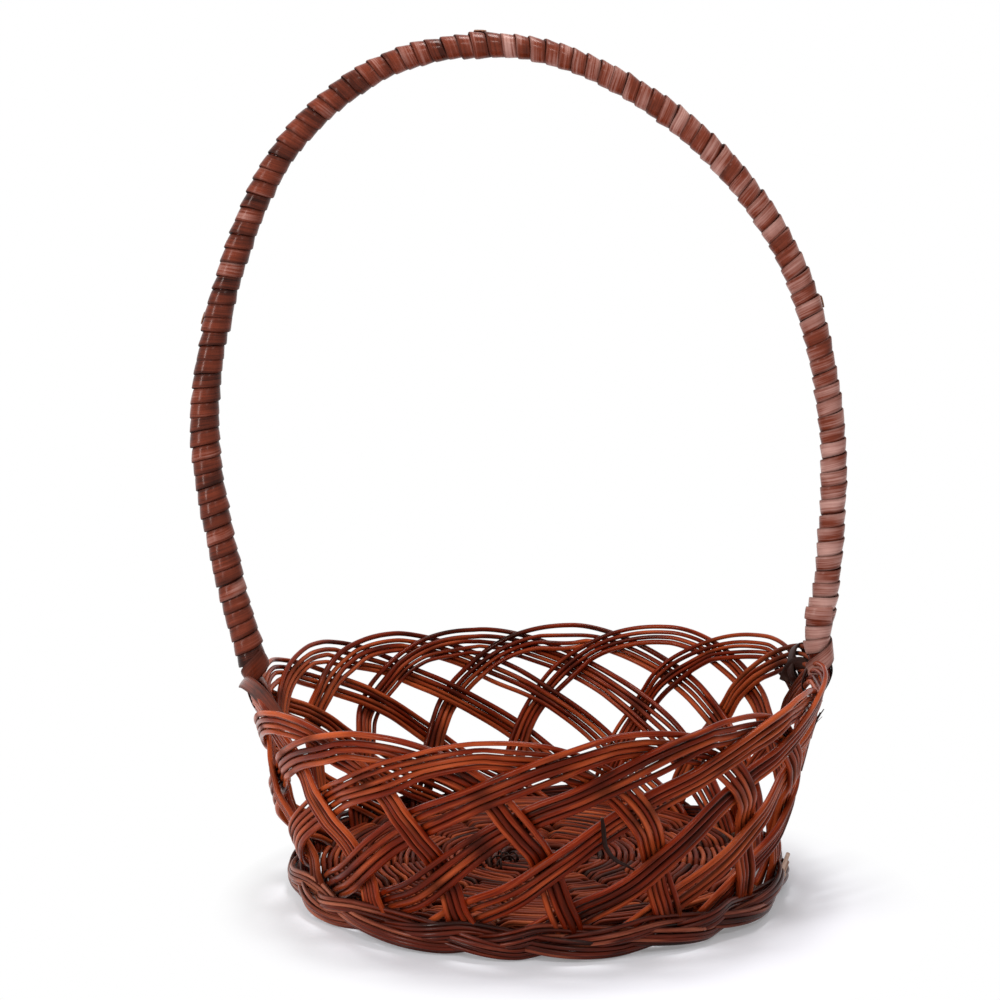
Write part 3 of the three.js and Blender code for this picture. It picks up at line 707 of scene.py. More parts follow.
@dataclass(frozen=True)
class Wall:
    """The openwork wall: arches of four or five rods side by side, looser at the rim than at the foot."""

    shape: WallShape
    stations: int = 181
    corners: int = 10
    over_foot: float = 1.02
    thick_rod: float = 1.62 * MM
    thin_rod: float = 1.28 * MM
    taper: float = 0.2
    tight_gap: float = -0.12 * MM
    open_gap: float = 0.9 * MM
    fan_gap: float = 1.3 * MM
    fan_start: float = 0.6
    rim_gap: float = 0.8 * MM
    rim_slim: float = 0.14
    top_gap: float = 2.2 * MM
    rim_reach: float = 0.42
    weave_offset: float = 1.62 * MM
    sway: float = 0.5 * MM
    bundle_turn: float = math.radians(0.5)
    crossing_reach: float = 5 * MM
    patches: tuple[Bell, ...] = (
        Bell(1.0, 16, 74, 12, 22), Bell(0.6, -8, 38, 6, 12), Bell(0.7, 207, 16, 8, 10),
        Bell(0.85, -101, 47, 2.2, 6), Bell(0.7, -78, 62, 2, 5),
    )
    crossing_depths: tuple[float, float] = (-0.2, 0.8)
    most_crossing_dark: float = 0.85
    rim_groove: float = 0.5
    tones: tuple[float, float] = (0.27, 0.72)
    tone_wander: float = 0.08
    # painted sheen: rods lighter at the basket's left and right sides
    side_sheen: float = 0.28
    tone_wave: float = 0.7
    rod_wander: float = 0.14 * MM
    rod_wave: float = 0.8
    sway_wave: float = 1.4
    part_wave: float = 0.9
    part_over: float = 0.4
    least_top_gap: float = 0.3
    five_slim: float = 0.9
    five_rods: tuple[int, ...] = (2, 5, 9, 12)
    seed: int = 11

    def build(self) -> None:
        """Makes one piece for each bundle."""
        rng = np.random.default_rng(self.seed)
        willow = WALL_FINISH.material()
        for bundle in range(self.shape.bundles):
            made = self.bundle_mesh(bundle, rng)
            number = f"{bundle + 1:02d}"
            made.make(f"willow_arch_{number}", willow, Slot.WALL, f"wall_bundle_{number}")

    def bundle_mesh(self, bundle: int, rng: np.random.Generator) -> PieceMesh:
        """Sweeps the rods of one bundle.

        A rod's line is the arch's middle line, moved across the bundle by the widths and gaps of the rods
        before it, and outwards by the weave. The rods press on each other, part here and there, open towards
        the rim as exp(-(t / reach)^2) and fan out at the foot of the shallow leg. They are painted lighter at
        the basket's left and right sides as sheen, darker between each other as painted shade, darker at
        crossings with stain and painted shade, and darker in patches.
        """
        t = np.linspace(-self.over_foot, self.over_foot, self.stations)
        count = 5 if bundle in self.five_rods else 4
        angle = self.shape.arch_angle(t) + self.shape.stand(bundle) - self.shape.first_crossing
        angle = angle + self.bundle_turn * rng.uniform(-1, 1)
        level = self.shape.arch_height(t)
        middle = self.shape.point(angle, level + self.shape.wear(angle, level), 0.0)
        normal = self.shape.normal(angle)
        across = unit(np.cross(normal, np.gradient(middle, axis=0)))
        slim = self.five_slim if count == 5 else 1.0
        butt = slim * rng.uniform(self.thin_rod, self.thick_rod, (count, 1))
        towards = rng.choice([-1.0, 1.0], (count, 1))
        radii = butt * (1 - self.taper * (1 + towards * t) / 2)
        rim = np.exp(-((t / self.rim_reach) ** 2))
        radii = radii * (1 - self.rim_slim * rim)
        opened = self.rim_gap * rng.uniform(0, 1, (count - 1, 1))
        opened[-1] = self.top_gap * rng.uniform(self.least_top_gap, 1)
        parted = self.open_gap * np.maximum(wander(rng, count - 1, t, self.part_wave) - self.part_over, 0)
        fan = ease((-t - self.fan_start) / (1 - self.fan_start))
        fanned = rng.uniform(0, self.fan_gap, (count - 1, 1)) * fan
        steps = radii[1:] + radii[:-1] + self.tight_gap + opened * rim + parted + fanned
        place = np.concatenate([np.zeros((1, self.stations)), np.cumsum(steps, axis=0)])
        place -= (place[:1] + place[-1:]) / 2
        place -= rim * (place[-1:] + radii[-1:] - self.shape.bundle_width / 2)
        place += self.sway * (1 - rim) * wander(rng, 1, t, self.sway_wave)
        outwards = self.weave_offset * self.shape.weave(bundle, t)
        outwards = outwards + self.rod_wander * wander(rng, count, t, self.rod_wave)
        lines = middle + place[..., None] * across + outwards[..., None] * normal
        circle = round_section(self.corners)
        # painted shade: each rod is darker on its sides that face a neighbour, less so near the rim
        has_next = np.array([[k > 0, k < count - 1] for k in range(count)], float)
        sides = np.where(circle[None, :, 0] < 0, has_next[:, :1], has_next[:, 1:])
        facing = circle[:, 0] ** 2 * sides
        groove = facing[:, None, :] * (1 - self.rim_groove * rim)[:, None]
        # darkening at crossings: stain and painted shade
        stain = self.crossing_darkening(bundle, t, count, rng)
        # painted sheen: lighter towards the left and right sides of the basket
        tint = rng.uniform(*self.tones, (count, 1)) + self.side_sheen * np.cos(angle) ** 2
        tint = tint + self.tone_wander * wander(rng, count, t, self.tone_wave)
        patched = np.max([bell.at(angle, level) for bell in self.patches], axis=0)
        stained = 1 - (1 - groove) * ((1 - stain) * (1 - patched))[..., None]
        return PieceMesh().sweep(lines, normal, rod_sections(radii, self.corners), tint, stained)

    def crossing_darkening(self, bundle: int, t: np.ndarray, count: int, rng: np.random.Generator) -> np.ndarray:
        """Gives the darkening at crossings, stain and painted shade: a bell over each, of a random depth on
        each rod.

        Returns:
            Depths (count, n) from 0 to 1.
        """
        places, _ = self.shape.crossings(bundle)
        pace = np.hypot(*self.shape.rise_and_round(places))
        bells = np.exp(-(((t - places[:, None]) * pace[:, None] / self.crossing_reach) ** 2))
        depths = rng.uniform(*self.crossing_depths, (count, len(places)))
        return np.clip(np.maximum(depths, 0) @ bells, 0, self.most_crossing_dark)


# The base


@dataclass(frozen=True)
class Rounds:
    """Rounds of twining: the first one's radius, their pitch and number, rows in each and waves in a turn."""

    start: float
    pitch: float
    count: int
    rows: int
    waves: int
    squareness: float = 2.0


@dataclass(frozen=True)
class Base:
    """The base: sixteen ends of eight sticks that fan out from a cross, with rods twined round them."""

    axis_x: float
    turn: float
    middle_z: float = 7.5 * MM
    each_way: int = 4
    stick_pitch: float = 5 * MM
    stick_radius: float = 2.15 * MM
    stick_reach: float = 94 * MM
    fan_start: float = 24 * MM
    fan_end: float = 44 * MM
    cross_half: float = 10 * MM
    slit_half: float = 1.3 * MM
    flat_half: float = 1.0 * MM
    stick_taper: float = 0.14
    stick_tones: tuple[float, float] = (0.25, 0.55)
    stick_corners: int = 16
    swell_length: float = 3.5 * MM
    fan_steps: int = 24
    straight_steps: int = 12
    straight_from: float = 6 * MM
    least_clear: float = 0.5 * MM
    cross_steps: int = 9
    cross_share: float = 0.8
    rounds: tuple[Rounds, ...] = (
        Rounds(15.6 * MM, 5 * MM, 2, 2, 2, 3.2), Rounds(29.5 * MM, 5.5 * MM, 3, 2, 4),
        Rounds(47.5 * MM, 8.2 * MM, 6, 3, 8),
    )
    stations: int = 321
    corners: int = 8
    rod: float = 1.15 * MM
    press: float = 0.2 * MM
    twist: float = 0.4 * MM
    flatness: float = 1.9
    slow_wave: float = 1.5
    fast_wave: float = 1.2
    phase_wander: float = 0.15
    out_wander: float = 0.16 * MM
    up_wander: float = 0.15 * MM
    thick_wander: float = 0.08
    tones: tuple[float, float] = (0.12, 0.84)
    dip_shade: float = 0.95
    side_shade: float = 0.8
    darkest: float = 0.3
    dark_reach: float = 34 * MM
    seed: int = 23

    def build(self) -> None:
        """Makes one piece for each stick and each round."""
        rng = np.random.default_rng(self.seed)
        willow = BASE_FINISH.material()
        for stick in range(self.each_way):
            for pierced, label in ((True, "pierced"), (False, "through")):
                made = self.stick_mesh(stick, pierced, rng)
                place = f"{label}_{stick + 1:02d}"
                made.make(f"willow_stick_{place}", willow, Slot.STICKS, f"base_stick_{place}")
        radii = [(group, group.start + i * group.pitch) for group in self.rounds for i in range(group.count)]
        for number, (group, radius) in enumerate(radii, 1):
            made = self.round_mesh(group, radius, rng)
            made.make(f"willow_round_{number:02d}", willow, Slot.WEAVE, f"base_weaver_{number:02d}")

    def darker(self, radius: np.ndarray) -> np.ndarray:
        """How much darker the wood is towards the cross, as painted shade."""
        return self.darkest * np.exp(-((radius / self.dark_reach) ** 2))

    def stick_mesh(self, stick: int, pierced: bool, rng: np.random.Generator) -> PieceMesh:
        """Sweeps one stick.

        Its angle off its own direction goes from asin(offset / radius), side by side, to an even spread, in a
        smooth step over the fan. A pierced stick is two halves that stand apart at the cross, and a through
        stick is shaved flat there.
        """
        inner = np.linspace(self.cross_half, self.fan_end, self.fan_steps)
        outer = np.linspace(self.fan_end + self.straight_from, self.stick_reach, self.straight_steps)
        offset = (stick - (self.each_way - 1) / 2) * self.stick_pitch
        radius = np.maximum(np.concatenate([inner, outer]), abs(offset) + self.least_clear)
        spread = (stick - (self.each_way - 1) / 2) * TURN / (4 * self.each_way)
        share = ease((radius - self.fan_start) / (self.fan_end - self.fan_start))
        angle = (1 - share) * np.arcsin(offset / radius) + share * spread
        far = np.stack([radius * np.cos(angle), radius * np.sin(angle)], axis=-1)
        near = far[::-1] * np.array([-1.0, 1.0])
        over_cross = np.linspace(-self.cross_share, self.cross_share, self.cross_steps) * self.cross_half
        middle = np.stack([over_cross, np.full_like(over_cross, offset)], axis=-1)
        flat = np.concatenate([near, middle, far])
        from_middle = np.hypot(flat[:, 0], flat[:, 1] - offset * (np.abs(flat[:, 0]) < self.cross_half))
        turned = self.turn + (math.pi / 2 if pierced else 0.0)
        cosine, sine = math.cos(turned), math.sin(turned)
        line = np.stack([
            self.axis_x + cosine * flat[:, 0] - sine * flat[:, 1],
            sine * flat[:, 0] + cosine * flat[:, 1],
            np.full(len(flat), self.middle_z),
        ], axis=-1)
        swell = ease((from_middle - self.cross_half) / self.swell_length)
        tapered = self.stick_taper * np.clip(from_middle / self.stick_reach, 0, 1)
        half_width = self.stick_radius * (1 - tapered)
        tint = rng.uniform(*self.stick_tones) - self.darker(from_middle)
        made = PieceMesh()
        if not pierced:
            circle = round_section(self.stick_corners)
            height = half_width * (self.flat_half / self.stick_radius * (1 - swell) + swell)
            section = np.stack([np.outer(half_width, circle[:, 0]), np.outer(height, circle[:, 1])], axis=-1)
            return made.sweep(line[None], UP, section, tint[None])
        half_turn = np.linspace(0, math.pi, self.stick_corners // 2 + 1)
        apart = self.slit_half * (1 - swell)
        for side in (1.0, -1.0):
            across = np.outer(half_width, side * np.cos(half_turn))
            height = np.outer(half_width, side * np.sin(half_turn)) + side * apart[:, None]
            made.sweep(line[None], UP, np.stack([across, height], axis=-1), tint[None])
        return made

    def round_mesh(self, twined: Rounds, radius: float, rng: np.random.Generator) -> PieceMesh:
        """Sweeps the rows of a round of twining.

        The two rods of a row go over a group of sticks and under the next by turns, one over where the other
        is under. A rod's level is 1.5 x - 0.5 x^3 of x = flatness cos(phase), held between -1 and 1, where
        the phase goes round in each wave, and each of its bars slants out as twist asin(sin(phase)) 2 / pi.
        The rows spiral outwards by one pitch in a turn, on a superellipse near the cross. Each bar has its
        own tone.
        """
        angle = np.linspace(0, TURN, self.stations)
        turned = angle + self.turn
        pitch = twined.pitch / twined.rows
        power = twined.squareness
        outline = (np.abs(np.cos(angle)) ** power + np.abs(np.sin(angle)) ** power) ** (-1 / power)
        first_group = 0.0 if twined.waves == 2 else TURN / (4 * twined.waves)
        side = np.array([[1.0], [-1.0]])
        lift = self.stick_radius + self.rod - self.press
        # painted shade on each rod's sides, between rows
        facing = self.side_shade * np.abs(round_section(self.corners)[:, 0]) ** 3
        made = PieceMesh()
        for row in range(twined.rows):
            middle = radius + pitch * (row - twined.rows / 2 + angle / TURN)
            hurry = self.phase_wander * wander(rng, 1, angle, self.slow_wave)[0]
            phase = twined.waves * (angle - first_group) + hurry
            held = np.clip(self.flatness * np.cos(phase), -1, 1)
            level = 1.5 * held - 0.5 * held ** 3
            slant = self.twist * np.arcsin(np.sin(phase)) / (math.pi / 2)
            out = middle * outline + side * slant + self.out_wander * wander(rng, 2, angle, self.fast_wave)
            z = self.middle_z + side * lift * level + self.up_wander * wander(rng, 2, angle, self.slow_wave)
            lines = np.stack([self.axis_x + out * np.cos(turned), out * np.sin(turned), z], axis=-1)
            radii = self.rod * (1 + self.thick_wander * wander(rng, 2, angle, self.slow_wave))
            bar = np.floor(phase / math.pi + 0.5).astype(int) % (2 * twined.waves)
            tint = rng.uniform(*self.tones, (2, 2 * twined.waves))[:, bar] - self.darker(middle)
            # painted shade where a rod dips under the sticks
            dipped = self.dip_shade * (1 - np.abs(level))
            groove = 1 - (1 - facing) * (1 - dipped[:, None])
            made.sweep(lines, UP, rod_sections(radii, self.corners), tint, groove)
        return made


# The foot


@dataclass(frozen=True)
class Foot:
    """The foot: a flat plait of three strands of rods round the bottom of the wall."""

    axis_x: float
    strands: int = 3
    rods: int = 4
    periods: int = 5
    stations: int = 541
    corners: int = 8
    radius: float = 103.6 * MM
    swing: float = 3.9 * MM
    sharpness: float = 0.95
    skew: float = 0.3
    weave: float = 2.5 * MM
    curl: float = 2.6 * MM
    rod_radius: float = 0.98 * MM
    rod_pitch: float = 1.72 * MM
    lens: float = 0.85 * MM
    seam: float = math.pi / 2
    seam_fade: float = 0.25
    uneven_phase: float = 0.3
    phase_wave: float = 1.6
    radius_wave: float = 2.0
    slow_wave: float = 1.5
    place_wave: float = 0.9
    out_wave: float = 0.7
    tone_wave: float = 1.0
    radius_wander: float = 0.4 * MM
    spread_wander: float = 0.06
    place_wander: float = 0.25 * MM
    out_wander: float = 0.2 * MM
    thick_wander: float = 0.08
    floor_gap: float = 0.2 * MM
    tones: tuple[float, float] = (0.2, 0.62)
    tone_wander: float = 0.1
    # painted highlight round the foot's front left
    pale: float = 0.55
    highlight_angle: float = math.radians(206)
    highlight_reach: float = math.radians(17)
    seed: int = 37

    def build(self) -> None:
        """Makes one piece for each strand."""
        rng = np.random.default_rng(self.seed)
        willow = FOOT_FINISH.material()
        hurry = self.uneven_phase * self.loose(rng, 1, self.phase_wave)[0]
        for strand in range(self.strands):
            made = self.strand_mesh(strand, hurry, rng)
            number = f"{strand + 1:02d}"
            made.make(f"willow_strand_{number}", willow, Slot.FOOT, f"foot_strand_{number}")

    def loose(self, rng: np.random.Generator, count: int, slowest: float) -> np.ndarray:
        """Draws smooth random curves round the foot that fade out at the seam, so that a strand's ends meet.

        Args:
            rng: source of the random phases.
            count: number of curves.
            slowest: length of the slowest wave, in periods of the plait.

        Returns:
            Heights (count, stations).
        """
        around = np.arange(self.stations) / (self.stations - 1) * self.periods
        from_seam = np.minimum(around, self.periods - around) / self.seam_fade
        return wander(rng, count, around, slowest) * ease(from_seam)

    def strand_mesh(self, strand: int, hurry: np.ndarray, rng: np.random.Generator) -> PieceMesh:
        """Sweeps the rods of one strand.

        The strand's middle stands at swing asin(k sin(phase)) / asin(k) up, a wave with straight flanks for a
        sharpness k near 1, and weave sin(2 phase) out. The phase goes round once in each period, faster on
        the way up than on the way down by the skew, and a third of a round later on the next strand. Its
        rods lie side by side across it, the inner ones of them further out, and the lower edge curls in
        under the foot.
        """
        angle = self.seam + np.linspace(0, TURN, self.stations)
        even = self.periods * angle + TURN * strand / self.strands + math.pi / 6 + hurry
        phase = even + self.skew * np.sin(even)
        order = np.arange(self.rods) - (self.rods - 1) / 2
        half_width = order[-1] * self.rod_pitch + self.rod_radius
        wave = np.arcsin(self.sharpness * np.sin(phase)) / math.asin(self.sharpness)
        height = self.swing * (1 + wave) + half_width + self.floor_gap
        radius = self.radius + self.weave * np.sin(2 * phase)
        radius = radius + self.radius_wander * self.loose(rng, 1, self.radius_wave)[0]
        flat = np.stack([np.cos(angle), np.sin(angle), np.zeros_like(angle)], axis=-1)
        middle = radius[:, None] * flat + height[:, None] * UP + np.array([self.axis_x, 0, 0])
        direction = unit(np.gradient(middle, axis=0))
        across = unit(np.cross(flat, direction))
        spread = 1 + self.spread_wander * self.loose(rng, 1, self.slow_wave)
        place = order[:, None] * self.rod_pitch * spread
        place = place + self.place_wander * self.loose(rng, self.rods, self.place_wave)
        out = self.lens * (1 - (2 * order / (self.rods - 1)) ** 2)[:, None]
        out = out + self.out_wander * self.loose(rng, self.rods, self.out_wave)
        lines = middle + place[..., None] * across + out[..., None] * flat
        radii = self.rod_radius * (1 + self.thick_wander * self.loose(rng, self.rods, self.slow_wave))
        lines[..., 2] = np.maximum(lines[..., 2], radii)
        below = np.clip(1 - lines[..., 2] / (self.swing + half_width), 0, 1)
        lines = lines - (self.curl * below ** 2)[..., None] * flat
        tint = rng.uniform(*self.tones, (self.rods, 1))
        tint = tint + self.tone_wander * self.loose(rng, self.rods, self.tone_wave)
        # painted highlight: the rods are lighter round the foot's front left
        tint = tint + self.pale * np.exp(-(((angle % TURN - self.highlight_angle) / self.highlight_reach) ** 2))
        # painted shade on each rod's sides, between neighbours
        groove = np.abs(round_section(self.corners)[:, 0]) ** 3
        return PieceMesh().sweep(lines, flat, rod_sections(radii, self.corners), tint, groove)


# The handle


@dataclass(frozen=True)
class Bow:
    """The handle's line: up the wall, over in a bow and down the wall again.

    The bow runs through points given as millimetres out from a foot, or at its crown as millimetres from the
    basket's axis, and as shares of its rise up from the rim.
    """

    shape: WallShape
    rise: float = 264.4 * MM
    left: tuple = (
        (2.6, 0.042), (10.4, 0.155), (19.9, 0.412), (6.5, 0.664), (-18.2, 0.851), (-57.9, 0.969),
    )
    crown: tuple = ((-20, 1.0), (17, 0.972))
    right: tuple = ((-54.5, 0.852), (-16.7, 0.664), (1.3, 0.412), (1.1, 0.17), (-2.9, 0.053))
    tail_offset: float = 2.95 * MM
    left_inset: float = 5 * MM
    tail_tip_z: float = 50 * MM
    tail_thickness: float = 3.2 * MM
    tail_tip_thickness: float = 1.6 * MM
    tail_width: float = 7 * MM
    tail_tip_width: float = 5 * MM
    tail_steps: int = 12
    samples: int = 64

    def tail(self, side: Side, count: int) -> np.ndarray:
        """Gives points (count, 3) along a tail, from its tip up to the rim."""
        share = np.linspace(0, 1, count)
        z = self.tail_tip_z + share * (self.shape.rim_top - self.tail_tip_z)
        thickness = self.tail_tip_thickness + share * (self.tail_thickness - self.tail_tip_thickness)
        offset = self.tail_offset + thickness / 2 - (self.left_inset if side is Side.LEFT else 0.0)
        points = self.shape.point(np.full(count, side.value), z, offset)
        points[:, 1] = 0.0
        return points

    def knots(self) -> np.ndarray:
        """Gives the points (n, 3) that the bow runs through, from the left foot to the right one."""
        right_foot = self.tail(Side.RIGHT, 2)[-1]
        left_foot = self.tail(Side.LEFT, 2)[-1]
        rim = self.shape.rim_top
        left = [(left_foot[0] - out * MM, 0, rim + up * self.rise) for out, up in self.left]
        crown = [(self.shape.axis_x + x * MM, 0, rim + up * self.rise) for x, up in self.crown]
        right = [(right_foot[0] + out * MM, 0, rim + up * self.rise) for out, up in self.right]
        return np.array([left_foot, *left, *crown, *right, right_foot])

    def whole(self) -> tuple[np.ndarray, np.ndarray]:
        """Gives the handle from the tip of its left tail to that of its right one.

        Returns:
            Points (n, 3), and their distances (n,) from the left foot, which are negative on the left tail.
        """
        left = self.tail(Side.LEFT, self.tail_steps)[:-1]
        right = self.tail(Side.RIGHT, self.tail_steps)[-2::-1]
        points = np.concatenate([left, self.line(), right])
        lengths = lengths_along(points)
        return points, lengths - lengths[len(left)]

    def line(self) -> np.ndarray:
        """Gives points (n, 3) along the bow."""
        return smooth_line(self.knots(), self.samples)


@dataclass(frozen=True)
class Flap:
    """The wide last strip at a foot: millimetres along from the foot, angles round the rod and half width."""

    side: Side
    along: tuple[float, float]
    angles: tuple[float, float]
    half_width: float


@dataclass(frozen=True)
class Handle:
    """The handle: a rod bent to a bow, wound from foot to foot with strips of split willow.

    Radii, in millimetres, and tones of the wrap are given at millimetres along the bow. A strip's end has an
    angle round the rod and a height that it lifts off by.
    """

    bow: Bow
    skeins: int = 5
    steps: int = 22
    pitch: float = 6 * MM
    start: float = 0.5 * MM
    stop: float = 8 * MM
    flatten: float = 16 * MM
    strip_half: float = 3.12 * MM
    strip_thickness: float = 0.6 * MM
    strip_crown: float = 0.1 * MM
    strip_tilt: float = 0.4 * MM
    rod_inset: float = 1.0 * MM
    joint_height: float = 0.5 * MM
    joint_reach: float = 5 * MM
    joints: tuple[float, ...] = (153 * MM, 326 * MM, 511 * MM, 643 * MM)
    joint_ends: tuple = ((0.4, 1.2 * MM), (0.25, 0.8 * MM), (0.3, 0.7 * MM), (math.pi + 0.3, 1.0 * MM))
    flaps: tuple[Flap, ...] = (
        Flap(Side.LEFT, (7, -9), (-2.9, 1.2), 4.3 * MM), Flap(Side.RIGHT, (-16, -4), (0.9, -3.0), 3.9 * MM),
    )
    radii: tuple = (
        (0, 6.0), (115, 6.1), (140, 5.4), (265, 5.15), (310, 4.75), (385, 4.75), (415, 5.2), (520, 5.25),
        (672, 5.45),
    )
    # painted light: the wrap is lighter down the right side than up the left
    tones: tuple = (
        (0, -0.1), (6.5, -0.1), (8, 0.38), (150, 0.33), (260, 0.36), (300, 0.47), (318, 0.36), (345, 0.58),
        (400, 0.56), (520, 0.6), (600, 0.7), (672, 0.76),
    )
    tone_wander: float = 0.07
    uneven_wave: float = 4.0
    uneven_waves: int = 5
    along_wander: float = 0.22 * MM
    lift_wander: float = 0.12 * MM
    width_wander: float = 0.025
    tilt_wander: float = 0.1 * MM
    flap_steps: int = 26
    flap_lift: float = 0.25 * MM
    flap_thickness: float = 0.7 * MM
    flap_crown: float = 0.3 * MM
    flap_tone_shift: float = 16 * MM
    end_steps: int = 16
    end_turn: float = 1.9
    end_lift: float = 0.1 * MM
    end_lying: float = 0.3
    end_taper: float = 0.15
    end_darker: float = 0.15
    rod_stations: int = 200
    rod_corners: int = 14
    rod_tone: float = 0.35
    seed: int = 53

    def outer_radius(self, along: np.ndarray) -> np.ndarray:
        """Radius of the wrapped handle along the bow, which is slim at the crown and has humps at joints."""
        places, radii = np.array(self.radii).T * MM
        away = (along[..., None] - np.array(self.joints)) / self.joint_reach
        humps = self.joint_height * np.exp(-(away ** 2)).sum(axis=-1)
        return np.interp(along, places, radii) + humps

    def tone(self, along: np.ndarray) -> np.ndarray:
        """Tint of the wrap along the bow: painted light, darker up the left side and lighter down the right.
        """
        places, tints = np.array(self.tones).T
        return np.interp(along, places * MM, tints)

    def frame_at(self, along: np.ndarray) -> tuple[np.ndarray, np.ndarray]:
        """Gives points and outward normals of the handle at distances from its left foot."""
        line, lengths = self.bow.whole()
        slope = np.gradient(line, axis=0) / np.gradient(lengths)[:, None]
        direction = unit(read_along(along, lengths, slope))
        return read_along(along, lengths, line), np.cross(direction, ALONG_Y)

    def halves(self, along: np.ndarray) -> tuple[np.ndarray, np.ndarray]:
        """Gives the rod's half thickness outwards and sideways: round in the bow, flat on the tails."""
        length = lengths_along(self.bow.line())[-1]
        core = self.outer_radius(along) - self.rod_inset
        from_foot = np.minimum(along, length - along)
        round_share = ease((from_foot + self.flatten / 2) / self.flatten)
        tip = np.clip(-from_foot / (self.bow.shape.rim_top - self.bow.tail_tip_z), 0, 1)
        thick = self.bow.tail_thickness + tip * (self.bow.tail_tip_thickness - self.bow.tail_thickness)
        wide = self.bow.tail_width + tip * (self.bow.tail_tip_width - self.bow.tail_width)
        out = thick / 2 + (core - thick / 2) * round_share
        return out, wide / 2 + (core - wide / 2) * round_share

    def build(self) -> None:
        """Makes the rod, the strips and the strip ends that stand out."""
        rng = np.random.default_rng(self.seed)
        wrap = WRAP_FINISH.material()
        self.rod_mesh().make("willow_handle_rod", FOOT_FINISH.material(), Slot.ROD, "handle_core")
        length = lengths_along(self.bow.line())[-1]
        turns = int((length - self.start - self.stop) / self.pitch)
        turn = np.linspace(0, turns, turns * self.steps + 1)
        uneven = wander(rng, 5, turn, self.uneven_wave, self.uneven_waves)
        ends = np.linspace(0, turns * self.steps, self.skeins + 1).astype(int)
        for skein in range(self.skeins):
            part = slice(ends[skein], ends[skein + 1] + 1)
            made = self.strip_mesh(turn[part], uneven[:, part])
            number = f"{skein + 1:02d}"
            made.make(f"willow_strip_{number}", wrap, Slot.WRAP, f"handle_skein_{number}")
        made = PieceMesh()
        self.add_strip_ends(made)
        for flap in self.flaps:
            self.add_flap(made, flap, length if flap.side is Side.RIGHT else 0.0)
        made.make("willow_strip_ends", wrap, Slot.WRAP)

    def rod_mesh(self) -> PieceMesh:
        """Sweeps the rod: an ellipse that is flat at the tails and round in the bow."""
        _, lengths = self.bow.whole()
        along = np.linspace(lengths[0], lengths[-1], self.rod_stations)
        points, outward = self.frame_at(along)
        half_out, half_across = self.halves(along)
        circle = round_section(self.rod_corners)
        sections = np.stack([np.outer(half_across, circle[:, 0]), np.outer(half_out, circle[:, 1])], axis=-1)
        tint = np.full((1, 1), self.rod_tone)
        return PieceMesh().sweep(points[None], outward[None], sections[None], tint)

    def on_rod(self, along: np.ndarray, angle: np.ndarray, lift: np.ndarray) -> tuple[np.ndarray, np.ndarray]:
        """Gives points on the rod at angles round it, lifted off it, and the directions away from it."""
        points, outward = self.frame_at(along)
        half_out, half_across = self.halves(along)
        away = np.cos(angle)[:, None] * outward + np.sin(angle)[:, None] * ALONG_Y
        on_ellipse = (half_out + lift) * np.cos(angle)
        beside = (half_across + lift) * np.sin(angle)
        return points + on_ellipse[:, None] * outward + beside[:, None] * ALONG_Y, away

    def strip_mesh(self, turn: np.ndarray, uneven: np.ndarray) -> PieceMesh:
        """Sweeps one strip round the rod.

        The strip's inner face follows a helix: at a number of turns it has gone pitch times the turns along
        the bow and minus a full angle times the turns round it. Each turn's edge towards the left foot stands
        up and lies on the turn before.

        Args:
            turn: turns (n,) along the strip.
            uneven: five smooth random curves (5, n).

        Returns:
            The strip's mesh.
        """
        along = self.start + self.pitch * turn + self.along_wander * uneven[0]
        lift = self.rod_inset - self.strip_thickness + self.lift_wander * uneven[1]
        line, radial = self.on_rod(along, -TURN * turn, lift)
        half = self.strip_half * (1 + self.width_wander * uneven[2])
        tilt = self.strip_tilt + self.tilt_wander * uneven[3]
        sections = strip_section(half, self.strip_thickness, self.strip_crown, tilt)
        tint = self.tone(along) + self.tone_wander * uneven[4]
        across = sections[:, :, 0] / half[:, None]
        # painted shade along each turn's edges, deeper on one side
        groove = np.where(across > 0, across ** 6, 0.85 * across ** 8)
        return PieceMesh().sweep(line[None], radial[None], sections[None], tint[None], groove[None])

    def add_flap(self, made: PieceMesh, flap: Flap, foot: float) -> None:
        """Sweeps a flap, which goes round the rod on a slant and binds the wrap's end.

        Args:
            made: mesh that takes the flap.
            flap: where it lies and how wide it is.
            foot: distance of its foot along the bow.
        """
        along = foot + np.linspace(*flap.along, self.flap_steps) * MM
        angle = np.linspace(*flap.angles, self.flap_steps)
        line, radial = self.on_rod(along, angle, np.full(len(along), self.rod_inset + self.flap_lift))
        half = np.full(len(along), flap.half_width)
        sections = strip_section(half, self.flap_thickness, self.flap_crown, np.zeros(len(along)))
        # painted shade along the flap's edges
        groove = (sections[:, :, 0] / flap.half_width) ** 8
        tint = self.tone(along + self.flap_tone_shift)
        made.sweep(line[None], radial[None], sections[None], tint[None], groove[None])

    def add_strip_ends(self, made: PieceMesh) -> None:
        """Sweeps the four ends of strips that stand out where one strip follows another.

        Each lies on the wrap at first and then lifts off as the square of the rest of its length.
        """
        share = np.linspace(0, 1, self.end_steps)
        free = np.maximum(share - self.end_lying, 0) / (1 - self.end_lying)
        for along_end, (angle_end, lift) in zip(self.joints, self.joint_ends):
            angle = angle_end + self.end_turn * (1 - share)
            along = along_end + self.pitch * (angle_end - angle) / TURN
            raised = self.rod_inset + self.end_lift + lift * free ** 2
            line, radial = self.on_rod(along, angle, raised)
            half = self.strip_half * (1 - self.end_taper * share)
            sections = strip_section(half, self.strip_thickness, self.strip_crown, np.zeros(len(share)))
            tint = self.tone(along) - self.end_darker * share
            made.sweep(line[None], radial[None], sections[None], tint[None])


@dataclass(frozen=True)
class Fold:
    """A strip that folds over the rim: its places (degrees round, mm up, mm out), half width and facing."""

    places: tuple
    half_width: float
    facing: tuple[float, float, float]


